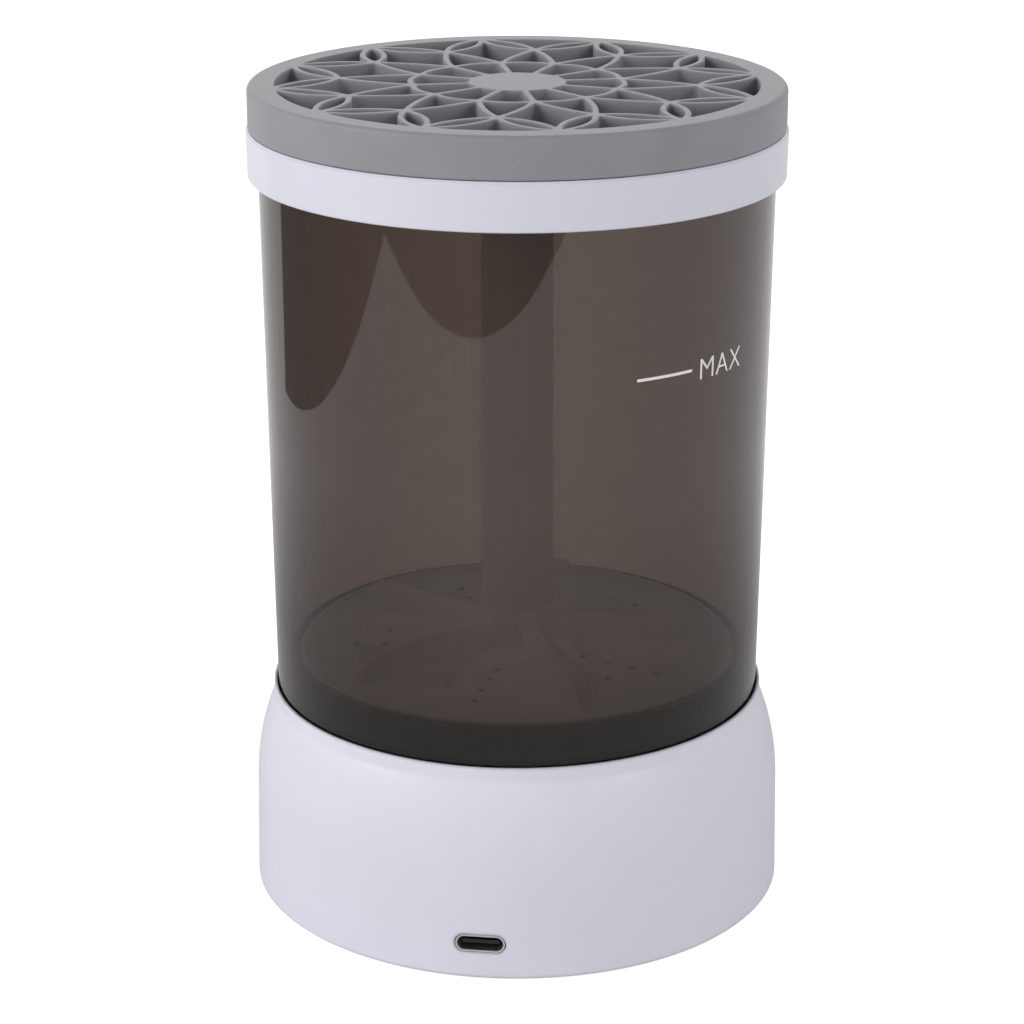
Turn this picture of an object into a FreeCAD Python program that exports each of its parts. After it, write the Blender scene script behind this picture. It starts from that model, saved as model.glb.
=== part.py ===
import FreeCAD, Part
import math
import operator
import os
import Sketcher

# Electric makeup brush cleaner: a white base with a geared motor, a smoky tank that lifts off it,
# a spinning wash plate on a long sleeve, a lid ring and a soft lattice that holds the brushes.
# Millimetres, +Z up. The origin is on the table under the middle of the base. The charging
# port looks along -Y and the power button along +Y.

SIZES = (
    # shell of the base
    ("footProud", 0.8, "rubber feet stand out under the shell"),
    ("shoulderSpread", 3.995, "shell's bottom edge outside the lip"),
    ("footBevel", 0.35, "bevel on the shell's bottom edge"),
    ("baseDraft", 0.4, "radius lost up to the shoulder"),
    ("sideHeight", 20.0, "straight side below the shoulder"),
    ("shellHeight", 39.2, "bottom edge to the mouth's rim"),
    ("shoulderBend", 43.5, "radius of the shoulder's curve"),
    ("collarHeight", 2.7, "upright collar under the lip"),
    ("lipWidth", 0.5, "mouth's lip, across"),
    ("lipRound", 0.15, "bevel on the lip"),
    ("shellWall", 2.3, "shell wall at its foot"),
    ("crownWall", 3.1, "lip to cavity at the deck, across"),
    ("mouthGap", 0.26, "running room round the tank in the mouth"),
    ("recessDepth", 7.0, "mouth's rim down to the deck"),
    ("deckThickness", 2.2, "floor under the tank"),
    ("keyRadius", 2.5, "pegs that stop the tank turning"),
    ("keyHeight", 2.6, "pegs above the deck"),
    ("keyInset", 9.6, "pegs inside the mouth"),
    ("keyCount", 3, "pegs"),
    ("keyAzimuth", 30.0, "first peg"),
    # bottom cover, its screws and the feet
    ("coverInset", 0.3, "cover above the shell's edge"),
    ("coverGap", 0.3, "cover to shell, all round"),
    ("coverThickness", 2.0, "bottom cover"),
    ("screwInset", 7.5, "cover screws inside the shell's edge"),
    ("bossRadius", 3.0, "screw bosses"),
    ("pilotRadius", 1.1, "pilot holes in bosses"),
    ("pilotDepth", 9.0, "pilot holes in bosses"),
    ("headRadius", 2.4, "screw heads"),
    ("headHeight", 1.2, "screw heads"),
    ("shankGap", 0.3, "screw shank in its clearance hole"),
    ("shankReach", 7.0, "screw shank past the cover"),
    ("footRadius", 5.5, "rubber feet"),
    ("footSink", 0.7, "feet let into the cover"),
    ("footInset", 13.0, "feet inside the shell's edge"),
    ("footCount", 4, "feet"),
    # drive train in the base
    ("gearModule", 0.5, "tooth module"),
    ("gearTeeth", 60, "teeth on the output gear"),
    ("pinionTeeth", 16, "teeth on the motor pinion"),
    ("gearFace", 4.0, "face width of the output gear"),
    ("pinionFace", 4.6, "face width of the pinion"),
    ("toothPlay", 0.12, "backlash taken off each tooth"),
    ("toothPressure", 20.0, "pressure angle of the teeth"),
    ("toothTip", 0.95, "tooth above the pitch circle, in modules"),
    ("toothRoot", 1.25, "tooth below the pitch circle, in modules"),
    ("hubRadius", 4.0, "hub of the output gear"),
    ("hubPlay", 0.2, "end play of the gear's hub"),
    ("deckBoss", 1.5, "bush boss below the deck"),
    ("bushBossRadius", 6.0, "bosses round the output bushes"),
    ("gearHeadroom", 0.7, "gear below the deck's boss"),
    ("plateRoom", 1.0, "gear above the motor plate"),
    ("plateThickness", 2.0, "motor plate"),
    ("plateHalfWidth", 25.0, "motor plate"),
    ("plateBack", 7.0, "motor plate behind the output shaft"),
    ("plateCorner", 4.0, "motor plate's rounded corners"),
    ("plateScrewSide", 20.0, "plate screws to left and right"),
    ("plateScrewFront", 4.0, "side screws in front of the output shaft"),
    ("plateScrewAhead", 18.0, "front screw in front of the motor shaft"),
    ("plateEar", 5.0, "plate round its screws"),
    ("platePilotDepth", 5.8, "pilot holes above the plate"),
    ("plateScrewReach", 4.0, "plate screws above the plate"),
    ("shaftRadius", 2.0, "output and tank shafts"),
    ("runningGap", 0.05, "shafts in their bushes"),
    ("bushWall", 1.45, "sintered bushes of the base"),
    ("bushRise", 0.2, "lower bush above the plate"),
    ("sealRadius", 5.0, "splash seal on the deck"),
    ("sealHeight", 0.9, "splash seal on the deck"),
    ("sealRoom", 0.2, "drive dog above the seal"),
    ("motorRadius", 12.2, "motor can"),
    ("motorRoom", 2.23, "motor above the main board"),
    ("motorRound", 1.0, "bevel for the can's drawn edge"),
    ("motorNoseRadius", 3.0, "bush housing on the can"),
    ("motorNose", 1.2, "bush housing on the can"),
    ("motorEndRadius", 9.0, "moulded end of the motor"),
    ("motorEnd", 1.2, "moulded end of the motor"),
    ("motorShaftRadius", 1.0, "motor shaft"),
    ("motorShaftSunk", 4.0, "motor shaft inside the can"),
    ("motorScrewSpacing", 16.0, "motor screws, apart"),
    ("motorScrewDepth", 2.4, "motor screws' holes in the can"),
    ("smallScrewRadius", 1.0, "small screws"),
    ("smallHeadRadius", 1.8, "small screw heads"),
    ("smallHeadHeight", 0.8, "small screw heads"),
    # dogs between base and tank
    ("dogFlange", 5.5, "drive dog's flange radius"),
    ("dogCap", 0.7, "drive dog over the shaft's end"),
    ("dogFlats", 8.0, "drive dog across its flats"),
    ("dogGap", 0.25, "play on each flat"),
    ("dogEndGap", 0.3, "play at the dogs' ends"),
    ("dogDepth", 3.1, "hexagon socket in the tank's dog"),
    ("dogWeb", 1.9, "tank's dog above its socket"),
    ("dogRadius", 7.0, "tank's dog, outside"),
    # battery, boards, socket and switch
    ("cellRadius", 9.2, "lithium cell"),
    ("cellLength", 65.0, "lithium cell"),
    ("cellBack", 23.6, "cell behind the middle"),
    ("cellSeat", 1.4, "cell above the cover"),
    ("cellCap", 0.5, "cell's raised end"),
    ("cellTipRadius", 3.1, "cell's raised end"),
    ("cellPlay", 0.1, "cell in its saddles"),
    ("saddleSide", 20.0, "saddles to left and right"),
    ("saddleWidth", 2.4, "saddles"),
    ("saddleHalf", 8.0, "saddles' half length across the cell"),
    ("saddleHeight", 5.0, "saddles above the cover"),
    ("clampHalf", 5.0, "ribs above the cell, half length"),
    ("boardThickness", 1.2, "circuit boards"),
    ("boardHalfWidth", 15.0, "main board"),
    ("boardBack", 8.0, "main board's edge in front of the middle"),
    ("boardInset", 8.0, "main board's shoulders inside the shell's edge"),
    ("tongueHalfWidth", 7.0, "main board under the socket"),
    ("tongueInset", 3.6, "board under the socket inside the shell's edge"),
    ("boardPostRadius", 2.4, "posts under the main board"),
    ("boardPostSide", 11.0, "board screws to left and right"),
    ("boardPostInset", 5.5, "board screws behind the board's shoulders"),
    ("portHeight", 6.7, "port's middle above the shell's edge"),
    ("socketWidth", 8.94, "charging socket's shell"),
    ("socketTall", 3.26, "charging socket's shell"),
    ("socketWall", 0.3, "charging socket's shell"),
    ("socketInset", 0.45, "socket's mouth inside the shell's edge"),
    ("socketDepth", 7.4, "charging socket, front to back"),
    ("socketBack", 1.4, "insulator at the socket's back"),
    ("tongueWidth", 6.7, "contact tongue"),
    ("tongueTall", 0.7, "contact tongue"),
    ("tongueSet", 0.9, "contact tongue behind the mouth"),
    ("portGap", 0.2, "shell's cut-out round the socket"),
    ("buttonHeight", 18.2, "button's middle above the shell's edge"),
    ("buttonRadius", 5.5, "power button"),
    ("buttonGap", 0.2, "button in its hole"),
    ("buttonInset", 0.2, "button's face inside the shell's edge"),
    ("buttonDish", 0.35, "hollow in the button's face"),
    ("dishRim", 1.1, "level rim round the hollow"),
    ("flangeRadius", 7.0, "button's flange"),
    ("flangeThickness", 1.2, "button's flange"),
    ("flangeGap", 0.5, "flange behind the shell's inside"),
    ("buttonTravel", 0.8, "button's stroke"),
    ("strokeSpare", 0.15, "gap left at the end of the stroke"),
    ("stemRadius", 2.0, "button's stem"),
    ("stemLength", 0.5, "button's stem"),
    ("switchHalf", 3.0, "tact switch body, half width"),
    ("switchBody", 3.5, "tact switch body"),
    ("switchNubRadius", 1.7, "tact switch's plunger"),
    ("switchNub", 1.4, "tact switch's plunger"),
    ("switchBoardHalf", 9.5, "switch board, half width"),
    ("switchBoardTall", 19.0, "switch board"),
    ("switchBoardLow", 10.5, "switch board below the button's middle"),
    ("ribWidth", 2.4, "ribs that hold the switch board"),
    ("slotDepth", 0.9, "ribs' slots"),
    ("ribRoot", 0.6, "ribs let into the shell's wall"),
    ("slotGap", 0.1, "board in the slots"),
    ("ribInside", 1.6, "ribs inside of the board"),
    ("lensRadius", 1.5, "charging light"),
    ("lensBelow", 9.2, "charging light below the button"),
    ("lensFlange", 2.1, "charging light's shoulder"),
    ("lensGap", 0.05, "charging light in its hole"),
    ("lensSeat", 0.15, "charging light's shoulder behind the shell"),
    ("lensRear", 2.6, "charging light behind the shell's inside"),
    # tank, its foot and the shaft in its middle
    ("tankGap", 0.3, "tank above the deck"),
    ("tankHeight", 107.3, "tank, skirt to rim"),
    ("tankRimRadius", 46.48, "tank's outside at its rim"),
    ("tankDraft", 0.01228, "radius lost per millimetre down"),
    ("tankWall", 2.0, "tank wall"),
    ("tankRimRound", 0.6, "bevel on the tank's rim"),
    ("skirtDepth", 7.7, "tube below the foot's floor"),
    ("floorThickness", 1.7, "foot's floor"),
    ("wellDepth", 3.75, "foot's ring above its floor"),
    ("wellWall", 1.8, "foot's ring round the wash plate"),
    ("wellBevel", 0.5, "bevel on the ring's inner edge"),
    ("pipeHeadroom", 9.0, "standpipe below the tank's rim"),
    ("pipeFoot", 4.8, "standpipe's outside at its foot"),
    ("pipeTip", 4.3, "standpipe's outside at its top"),
    ("pipeBore", 2.9, "standpipe's bore"),
    ("bushLength", 8.0, "plastic bushes in the standpipe"),
    ("bushFlange", 0.8, "plastic bushes' flanges"),
    ("bushFlangeRadius", 4.0, "plastic bushes' flanges"),
    ("plugGap", 0.1, "glue line between foot and tube"),
    ("plugWall", 2.0, "tank foot's walls"),
    ("plugCollar", 8.6, "tank foot's collar round the dog"),
    ("plugCollarWall", 1.4, "tank foot's collar"),
    ("plugCollarRise", 0.7, "collar above the tube's edge"),
    ("keyPlay", 0.35, "pegs in the tank foot"),
    ("keyWall", 1.6, "tank foot round the pegs"),
    ("clipWidth", 1.9, "retaining ring, across"),
    ("clipThickness", 0.8, "retaining ring"),
    ("clipSink", 0.3, "retaining ring in its groove"),
    ("clipPlay", 0.1, "retaining ring above the bush"),
    # wash plate and sleeve
    ("discGap", 0.5, "wash plate above the floor"),
    ("discClearance", 0.45, "wash plate inside the foot's ring"),
    ("discThickness", 1.1, "wash plate"),
    ("discRound", 0.5, "bevel on the wash plate's edge"),
    ("discHubRadius", 7.0, "wash plate's hub"),
    ("discHubFlare", 3.2, "hub's flare at the plate"),
    ("discHubHeight", 10.1, "hub above the plate"),
    ("hubBore", 5.5, "hub round the standpipe"),
    ("vaneCount", 5, "vanes"),
    ("vaneInset", 5.45, "vanes' outer end inside the plate's edge"),
    ("vaneThickness", 2.2, "vanes"),
    ("vaneHeight", 7.6, "vanes above the plate"),
    ("vaneTipRound", 5.0, "vanes' rounded outer corner"),
    ("vaneRootRound", 3.2, "soft root between vane and hub"),
    ("vaneRootSink", 1.5, "soft root let into the hub"),
    ("vaneAzimuth", 9.6, "first vane"),
    ("holeCount", 4, "drain holes in a line"),
    ("holeRadius", 0.7, "drain holes"),
    ("holeAzimuth", 37.5, "line of drain holes after a vane"),
    ("holeInset", 4.5, "innermost drain hole outside the hub's flare"),
    ("holePitch", 5.2, "drain holes, apart"),
    ("sideHoleAzimuth", 21.7, "odd drain hole after a vane"),
    ("sideHoleInset", 16.05, "odd drain hole inside the plate's edge"),
    ("sleeveRadius", 6.85, "sleeve at its foot"),
    ("sleeveTaper", 0.35, "radius lost up to the sleeve's top"),
    ("sleeveBore", 5.4, "sleeve's bore"),
    ("sleeveRound", 1.2, "bevel on the sleeve's top edge"),
    ("sleeveSeam", 0.4, "shadow line above the hub"),
    ("spigotRadius", 6.1, "sleeve's foot in the hub"),
    ("spigotLength", 6.0, "sleeve's foot in the hub"),
    ("spigotGap", 0.05, "sleeve's foot in the hub, round"),
    ("sleeveHeadroom", 2.5, "sleeve below the brush holder"),
    ("socketRoom", 0.6, "sleeve's head above the retaining ring"),
    ("keyedDepth", 6.5, "keyed socket in the sleeve's head"),
    ("keyedFlat", 0.5, "flat on the shaft's top"),
    ("keyedGap", 0.05, "shaft in the keyed socket"),
    # lid ring, its gasket and the brush holder
    ("lidWall", 1.53, "lid ring's skirt"),
    ("lidGap", 0.38, "lid ring outside the tank's rim"),
    ("lidOverlap", 3.85, "lid ring below the tank's rim"),
    ("lidRise", 4.7, "lid ring above the tank's rim"),
    ("lidDraft", 0.12, "radius lost down the lid ring"),
    ("lidBevel", 0.2, "bevel on the lid ring's lower edge"),
    ("lidRound", 0.4, "bevel on the lid ring's upper edge"),
    ("plugDepth", 3.4, "lid's plug inside the tank"),
    ("lidPlugWall", 0.9, "lid's plug"),
    ("lidPlugGap", 0.35, "lid's plug to the tank's inside"),
    ("gasketThickness", 0.8, "lid gasket"),
    ("gasketGap", 0.2, "lid gasket above the rim"),
    ("gasketTrim", 0.15, "lid gasket inside its seat"),
    ("ribInset", 2.6, "locating rib inside the lid ring's edge"),
    ("ribHalf", 0.5, "locating rib, half width"),
    ("ribRise", 1.5, "locating rib"),
    ("holderGap", 0.1, "brush holder above the lid ring"),
    ("holderHeight", 7.45, "brush holder"),
    ("holderInset", 0.34, "brush holder inside the lid ring's edge"),
    ("holderRound", 0.9, "bevel on the brush holder's edges"),
    ("holderGroove", 0.2, "brush holder round the locating rib"),
    ("latticeAzimuth", 16.65, "first inner knot of the lattice"),
    ("latticeCount", 12, "the lattice's repeats"),
    ("latticeCore", 8.2, "solid middle of the lattice"),
    ("knotInset", 13.75, "inner knots inside the star knots"),
    ("starInset", 11.5, "star knots inside the rim knots"),
    ("rimInset", 4.35, "rim knots inside the holder's edge"),
    ("webWidth", 1.1, "webs"),
    ("scallopRise", 2.3, "bulge of the inner scallops"),
    ("petalRise", 1.1, "bulge of the long webs"),
    ("leafRise", 2.0, "bulge of the leaves' webs"),
    ("cellOverrun", 1.0, "the cells' cut past both faces"),
)

COVER_SCREW_AZIMUTHS = (0.0, 180.0, 240.0, 300.0)
HALF_TURN = 180.0
FULL_TURN = 360.0
HEX_SIDES = 6
TOLERANCE = 1e-3

document = FreeCAD.newDocument("brush_cleaner")
sheet = document.addObject("Spreadsheet::Sheet", "Sizes")


class Dim:
    # A number together with the sheet's formula that gives it.
    def __init__(self, value, text):
        self.value = value
        self.text = text

    def __add__(self, other):
        return combined(self, "+", other)

    def __radd__(self, other):
        return combined(other, "+", self)

    def __sub__(self, other):
        return combined(self, "-", other)

    def __rsub__(self, other):
        return combined(other, "-", self)

    def __mul__(self, other):
        return combined(self, "*", other)

    def __rmul__(self, other):
        return combined(other, "*", self)

    def __truediv__(self, other):
        return combined(self, "/", other)

    def __rtruediv__(self, other):
        return combined(other, "/", self)

    def __neg__(self):
        return Dim(-self.value, f"-({self.text})")


OPERATIONS = {"+": operator.add, "-": operator.sub, "*": operator.mul, "/": operator.truediv}


def asDim(number):
    if isinstance(number, Dim):
        return number
    return Dim(float(number), f"{float(number):.6f}")


def combined(left, sign, right):
    left = asDim(left)
    right = asDim(right)
    value = OPERATIONS[sign](left.value, right.value)
    return Dim(value, f"({left.text} {sign} {right.text})")


def turned(function, name, angle):
    angle = asDim(angle)
    return Dim(function(math.radians(angle.value)), f"{name}(({angle.text}) * 1 deg)")


def cosOf(angle):
    return turned(math.cos, "cos", angle)


def sinOf(angle):
    return turned(math.sin, "sin", angle)


def polar(radius, angle):
    # The point at a radius and an azimuth.
    return radius * cosOf(angle), radius * sinOf(angle)


def fillSheet():
    named = {}
    for row, (alias, value, note) in enumerate(SIZES, start=1):
        sheet.set(f"A{row}", alias)
        sheet.set(f"B{row}", f"{value}")
        sheet.setAlias(f"B{row}", alias)
        sheet.set(f"C{row}", note)
        named[alias] = Dim(float(value), f"Sizes.{alias}")
    return named


class Named:
    # The sheet's sizes, each by its alias.
    def __init__(self, values):
        self.__dict__.update(values)


size = Named(fillSheet())
document.recompute()


# ---- features -----------------------------------------------------------------------------

def bind(item, prop, amount):
    item.setExpression(prop, asDim(amount).text)


def newBody(label):
    body = document.addObject("PartDesign::Body", label)
    body.Label = label
    body.AllowCompound = True
    return body


def datum(body, role):
    return next(item for item in body.Origin.OriginFeatures if item.Role == role)


def newSketch(body, name, role="XY_Plane", offset=None):
    sketch = body.newObject("Sketcher::SketchObject", name)
    sketch.AttachmentSupport = [(datum(body, role), "")]
    sketch.MapMode = "FlatFace"
    if offset is not None:
        bind(sketch, "AttachmentOffset.Base.z", offset)
    return sketch


def pinCoordinate(sketch, kind, axis, geometry, place, amount):
    # Holds one coordinate of a sketch point: on an axis where it is zero, else by its distance.
    amount = asDim(amount)
    if amount.value == 0.0:
        sketch.addConstraint(Sketcher.Constraint("PointOnObject", geometry, place, axis))
        return
    index = sketch.addConstraint(
        Sketcher.Constraint(kind, -1, 1, geometry, place, amount.value)
    )
    sketch.setExpression(f"Constraints[{index}]", amount.text)


def pinPoint(sketch, geometry, place, x, y):
    x = asDim(x)
    y = asDim(y)
    if x.value == 0.0 and y.value == 0.0:
        sketch.addConstraint(Sketcher.Constraint("Coincident", geometry, place, -1, 1))
        return
    pinCoordinate(sketch, "DistanceX", -2, geometry, place, x)
    pinCoordinate(sketch, "DistanceY", -1, geometry, place, y)


def pinRadius(sketch, geometry, radius):
    index = sketch.addConstraint(Sketcher.Constraint("Radius", geometry, radius.value))
    sketch.setExpression(f"Constraints[{index}]", radius.text)


def arcBetween(here, there, radius, leftHanded):
    # The arc of a radius from one point to another that turns left (or right) on its way.
    chord = there - here
    half = chord.Length / 2
    side = FreeCAD.Vector(-chord.y, chord.x, 0).normalize()
    reach = math.sqrt(max(radius * radius - half * half, 0.0))
    centre = (here + there) / 2 + side * (reach if leftHanded else -reach)
    first, last = (here, there) if leftHanded else (there, here)
    start = math.atan2(first.y - centre.y, first.x - centre.x)
    end = math.atan2(last.y - centre.y, last.x - centre.x)
    if end < start:
        end += 2 * math.pi
    circle = Part.Circle(centre, FreeCAD.Vector(0, 0, 1), radius)
    return Part.ArcOfCircle(circle, start, end)


def drawOutline(sketch, outline):
    # A closed outline of corners (x, y); a corner (x, y, radius, leftHanded) starts an arc.
    corners = [FreeCAD.Vector(asDim(c[0]).value, asDim(c[1]).value, 0) for c in outline]
    base = sketch.GeometryCount
    count = len(outline)
    starts = []
    for i, corner in enumerate(outline):
        here = corners[i]
        there = corners[(i + 1) % count]
        if len(corner) == 4:
            arc = arcBetween(here, there, corner[2].value, corner[3])
            sketch.addGeometry(arc, False)
            pinRadius(sketch, base + i, corner[2])
            starts.append(1 if corner[3] else 2)
        else:
            sketch.addGeometry(Part.LineSegment(here, there), False)
            starts.append(1)
    for i, corner in enumerate(outline):
        following = (i + 1) % count
        sketch.addConstraint(
            Sketcher.Constraint(
                "Coincident", base + i, 3 - starts[i], base + following, starts[following]
            )
        )
        pinPoint(sketch, base + i, starts[i], corner[0], corner[1])


def drawCircle(sketch, x, y, radius):
    centre = FreeCAD.Vector(asDim(x).value, asDim(y).value, 0)
    index = sketch.addGeometry(
        Part.Circle(centre, FreeCAD.Vector(0, 0, 1), radius.value), False
    )
    pinRadius(sketch, index, radius)
    pinPoint(sketch, index, 3, x, y)


def drawBox(sketch, left, low, right, high):
    drawOutline(sketch, [(left, low), (right, low), (right, high), (left, high)])


def stadium(halfWidth, halfTall, middle):
    # A slot's outline: two straight sides closed by half rounds, in quarter turns.
    straight = halfWidth - halfTall
    return [
        (-straight, middle - halfTall),
        (straight, middle - halfTall, halfTall, True),
        (halfWidth, middle, halfTall, True),
        (straight, middle + halfTall),
        (-straight, middle + halfTall, halfTall, True),
        (-halfWidth, middle, halfTall, True),
    ]


def revolve(body, name, outline, cut=False):
    # Turns a profile of (radius, height) corners round the body's upright axis.
    sketch = newSketch(body, name + "Profile", "XZ_Plane")
    drawOutline(sketch, outline)
    kind = "PartDesign::Groove" if cut else "PartDesign::Revolution"
    feature = body.newObject(kind, name)
    feature.Profile = sketch
    feature.ReferenceAxis = (sketch, ["V_Axis"])
    feature.Angle = FULL_TURN
    return feature


def extrude(body, name, sketch, length, cut=False, reverse=False, both=False):
    kind = "PartDesign::Pocket" if cut else "PartDesign::Pad"
    feature = body.newObject(kind, name)
    feature.Profile = sketch
    feature.Reversed = reverse
    if both:
        feature.SideType = "Symmetric"
    bind(feature, "Length", length)
    return feature


def pads(body, name, low, length, circles, cut=False):
    # Upright round pads (or round cuts) from a height upwards, one for each (x, y, radius).
    sketch = newSketch(body, name + "Circles", "XY_Plane", low)
    for x, y, radius in circles:
        drawCircle(sketch, x, y, radius)
    return extrude(body, name, sketch, length, cut=cut, reverse=cut)


def pattern(body, name, features, count):
    copies = body.newObject("PartDesign::PolarPattern", name)
    copies.Originals = features
    copies.Axis = (datum(body, "Z_Axis"), [""])
    copies.Angle = FULL_TURN
    bind(copies, "Occurrences", count)
    body.Tip = copies
    return copies


def dress(body, kind, name, chosen, amount):
    # Rounds or bevels the edges of the body's last feature that the test picks out.
    document.recompute()
    base = body.Tip
    edges = [
        f"Edge{number}"
        for number, edge in enumerate(base.Shape.Edges, start=1)
        if chosen(edge)
    ]
    feature = body.newObject(f"PartDesign::{kind}", name)
    feature.Base = (base, edges)
    bind(feature, "Radius" if kind == "Fillet" else "Size", amount)
    return feature


def ringAt(radius, height):
    # Picks the level circular edge of a radius at a height.
    def chosen(edge):
        curve = edge.Curve
        if not isinstance(curve, Part.Circle):
            return False
        near = abs(curve.Radius - radius.value) < TOLERANCE
        level = abs(edge.BoundBox.ZMax - height.value) < TOLERANCE
        return near and level and edge.BoundBox.ZLength < TOLERANCE
    return chosen


def setPlacement(item, azimuth=None, x=None, y=None):
    # Places a sub-part: turned about the upright axis, then shifted.
    if azimuth is not None:
        bind(item, "Placement.Rotation.Angle", azimuth)
    if x is not None:
        bind(item, "Placement.Base.x", x)
    if y is not None:
        bind(item, "Placement.Base.y", y)


# ---- heights and radii that several pieces share --------------------------------------------

shellBottom = size.footProud
shellTop = shellBottom + size.shellHeight
deckTop = shellTop - size.recessDepth
deckUnder = deckTop - size.deckThickness
coverBottom = shellBottom + size.coverInset
coverTop = coverBottom + size.coverThickness
skirtBottom = deckTop + size.tankGap
floorUnder = skirtBottom + size.skirtDepth
floorTop = floorUnder + size.floorThickness
wellTop = floorTop + size.wellDepth
tankTop = skirtBottom + size.tankHeight
pipeTop = tankTop - size.pipeHeadroom
discUnder = floorTop + size.discGap
discTop = discUnder + size.discThickness
hubTop = discTop + size.discHubHeight
gasketUnder = tankTop + size.gasketGap
gasketTop = gasketUnder + size.gasketThickness
lidUnder = tankTop - size.lidOverlap
lidTop = tankTop + size.lidRise
holderUnder = lidTop + size.holderGap
holderTop = holderUnder + size.holderHeight
sleeveTop = holderUnder - size.sleeveHeadroom
sleeveUnder = hubTop + size.sleeveSeam
spigotUnder = sleeveUnder - size.spigotLength
clipUnder = pipeTop + size.bushFlange + size.clipPlay
sleeveBoreTop = clipUnder + size.clipThickness + size.socketRoom
drivenTop = floorUnder - size.bushFlange - size.clipPlay
drivenSocketTop = drivenTop - size.dogWeb
drivenUnder = drivenSocketTop - size.dogDepth
dogUnder = deckTop + size.sealHeight + size.sealRoom
deckBossUnder = deckUnder - size.deckBoss
gearTop = deckBossUnder - size.gearHeadroom
gearUnder = gearTop - size.gearFace
plateTop = gearUnder - size.plateRoom
plateUnder = plateTop - size.plateThickness
plateBossUnder = plateUnder - size.deckBoss
gearSpacing = size.gearModule * (size.gearTeeth + size.pinionTeeth) / 2
bushOutside = size.shaftRadius + size.runningGap + size.bushWall
portMiddle = shellBottom + size.portHeight
boardTop = portMiddle - size.socketTall / 2
motorUnder = boardTop + size.motorRoom + size.motorEnd
boardUnder = boardTop - size.boardThickness
buttonMiddle = shellBottom + size.buttonHeight
lensMiddle = buttonMiddle - size.lensBelow
cellMiddle = coverTop + size.cellSeat + size.cellRadius
lidSkirtInside = size.tankRimRadius + size.lidGap
lidRadius = lidSkirtInside + size.lidWall
ribCircle = lidRadius - size.ribInset
holderRadius = lidRadius - size.holderInset
rimCircle = holderRadius - size.rimInset
starCircle = rimCircle - size.starInset
knotCircle = starCircle - size.knotInset


def tankOutside(height):
    # The tank's outer radius at a height, narrowing downwards with the draft.
    return size.tankRimRadius - size.tankDraft * (tankTop - height)


mouthRadius = tankOutside(shellTop) + size.mouthGap
lipOutside = mouthRadius + size.lipWidth
baseRadius = lipOutside + size.shoulderSpread
keyCircle = mouthRadius - size.keyInset
cavityFoot = baseRadius - size.shellWall
cavityTop = lipOutside + size.crownWall / 2 - size.shellWall / 2
coverRadius = cavityFoot - size.coverGap
cavitySlope = (cavityFoot - cavityTop) / (deckUnder - shellBottom)
screwCircle = baseRadius - size.screwInset
footCircle = baseRadius - size.footInset
boardFront = baseRadius - size.boardInset
tongueFront = baseRadius - size.tongueInset
boardPostFront = boardFront - size.boardPostInset
socketFront = baseRadius - size.socketInset
buttonFace = baseRadius - size.buttonInset
plugOutside = tankOutside(skirtBottom) - size.tankWall - size.plugGap
wellOutside = tankOutside(wellTop) - size.tankWall - size.plugGap
wellRadius = wellOutside - size.wellWall
discRadius = wellRadius - size.discClearance
sleeveCrown = size.sleeveRadius - size.sleeveTaper


def cavityAt(height):
    # The shell's inner radius at a height.
    return cavityFoot - cavitySlope * (height - shellBottom)


frontScrew = (asDim(0), -(gearSpacing + size.plateScrewAhead))
plateScrews = [
    (size.plateScrewSide, -size.plateScrewFront),
    (-size.plateScrewSide, -size.plateScrewFront),
    frontScrew,
]
motorScrews = [
    (size.motorScrewSpacing / 2, -gearSpacing),
    (-size.motorScrewSpacing / 2, -gearSpacing),
]
coverScrews = [polar(screwCircle, azimuth) for azimuth in COVER_SCREW_AZIMUTHS]
boardScrews = [
    (size.boardPostSide, -boardPostFront),
    (-size.boardPostSide, -boardPostFront),
]

# Distances from the middle to the button's and the switch board's faces, towards the back.
flangeFront = cavityAt(buttonMiddle + size.flangeRadius) - size.flangeGap
flangeRear = flangeFront - size.flangeThickness
stemTip = flangeRear - size.stemLength
nubTip = stemTip - size.buttonTravel - size.strokeSpare
switchFront = nubTip - size.switchNub
switchRear = switchFront - size.switchBody
switchBoardRear = switchRear - size.boardThickness


# ---- base -----------------------------------------------------------------------------------

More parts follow.
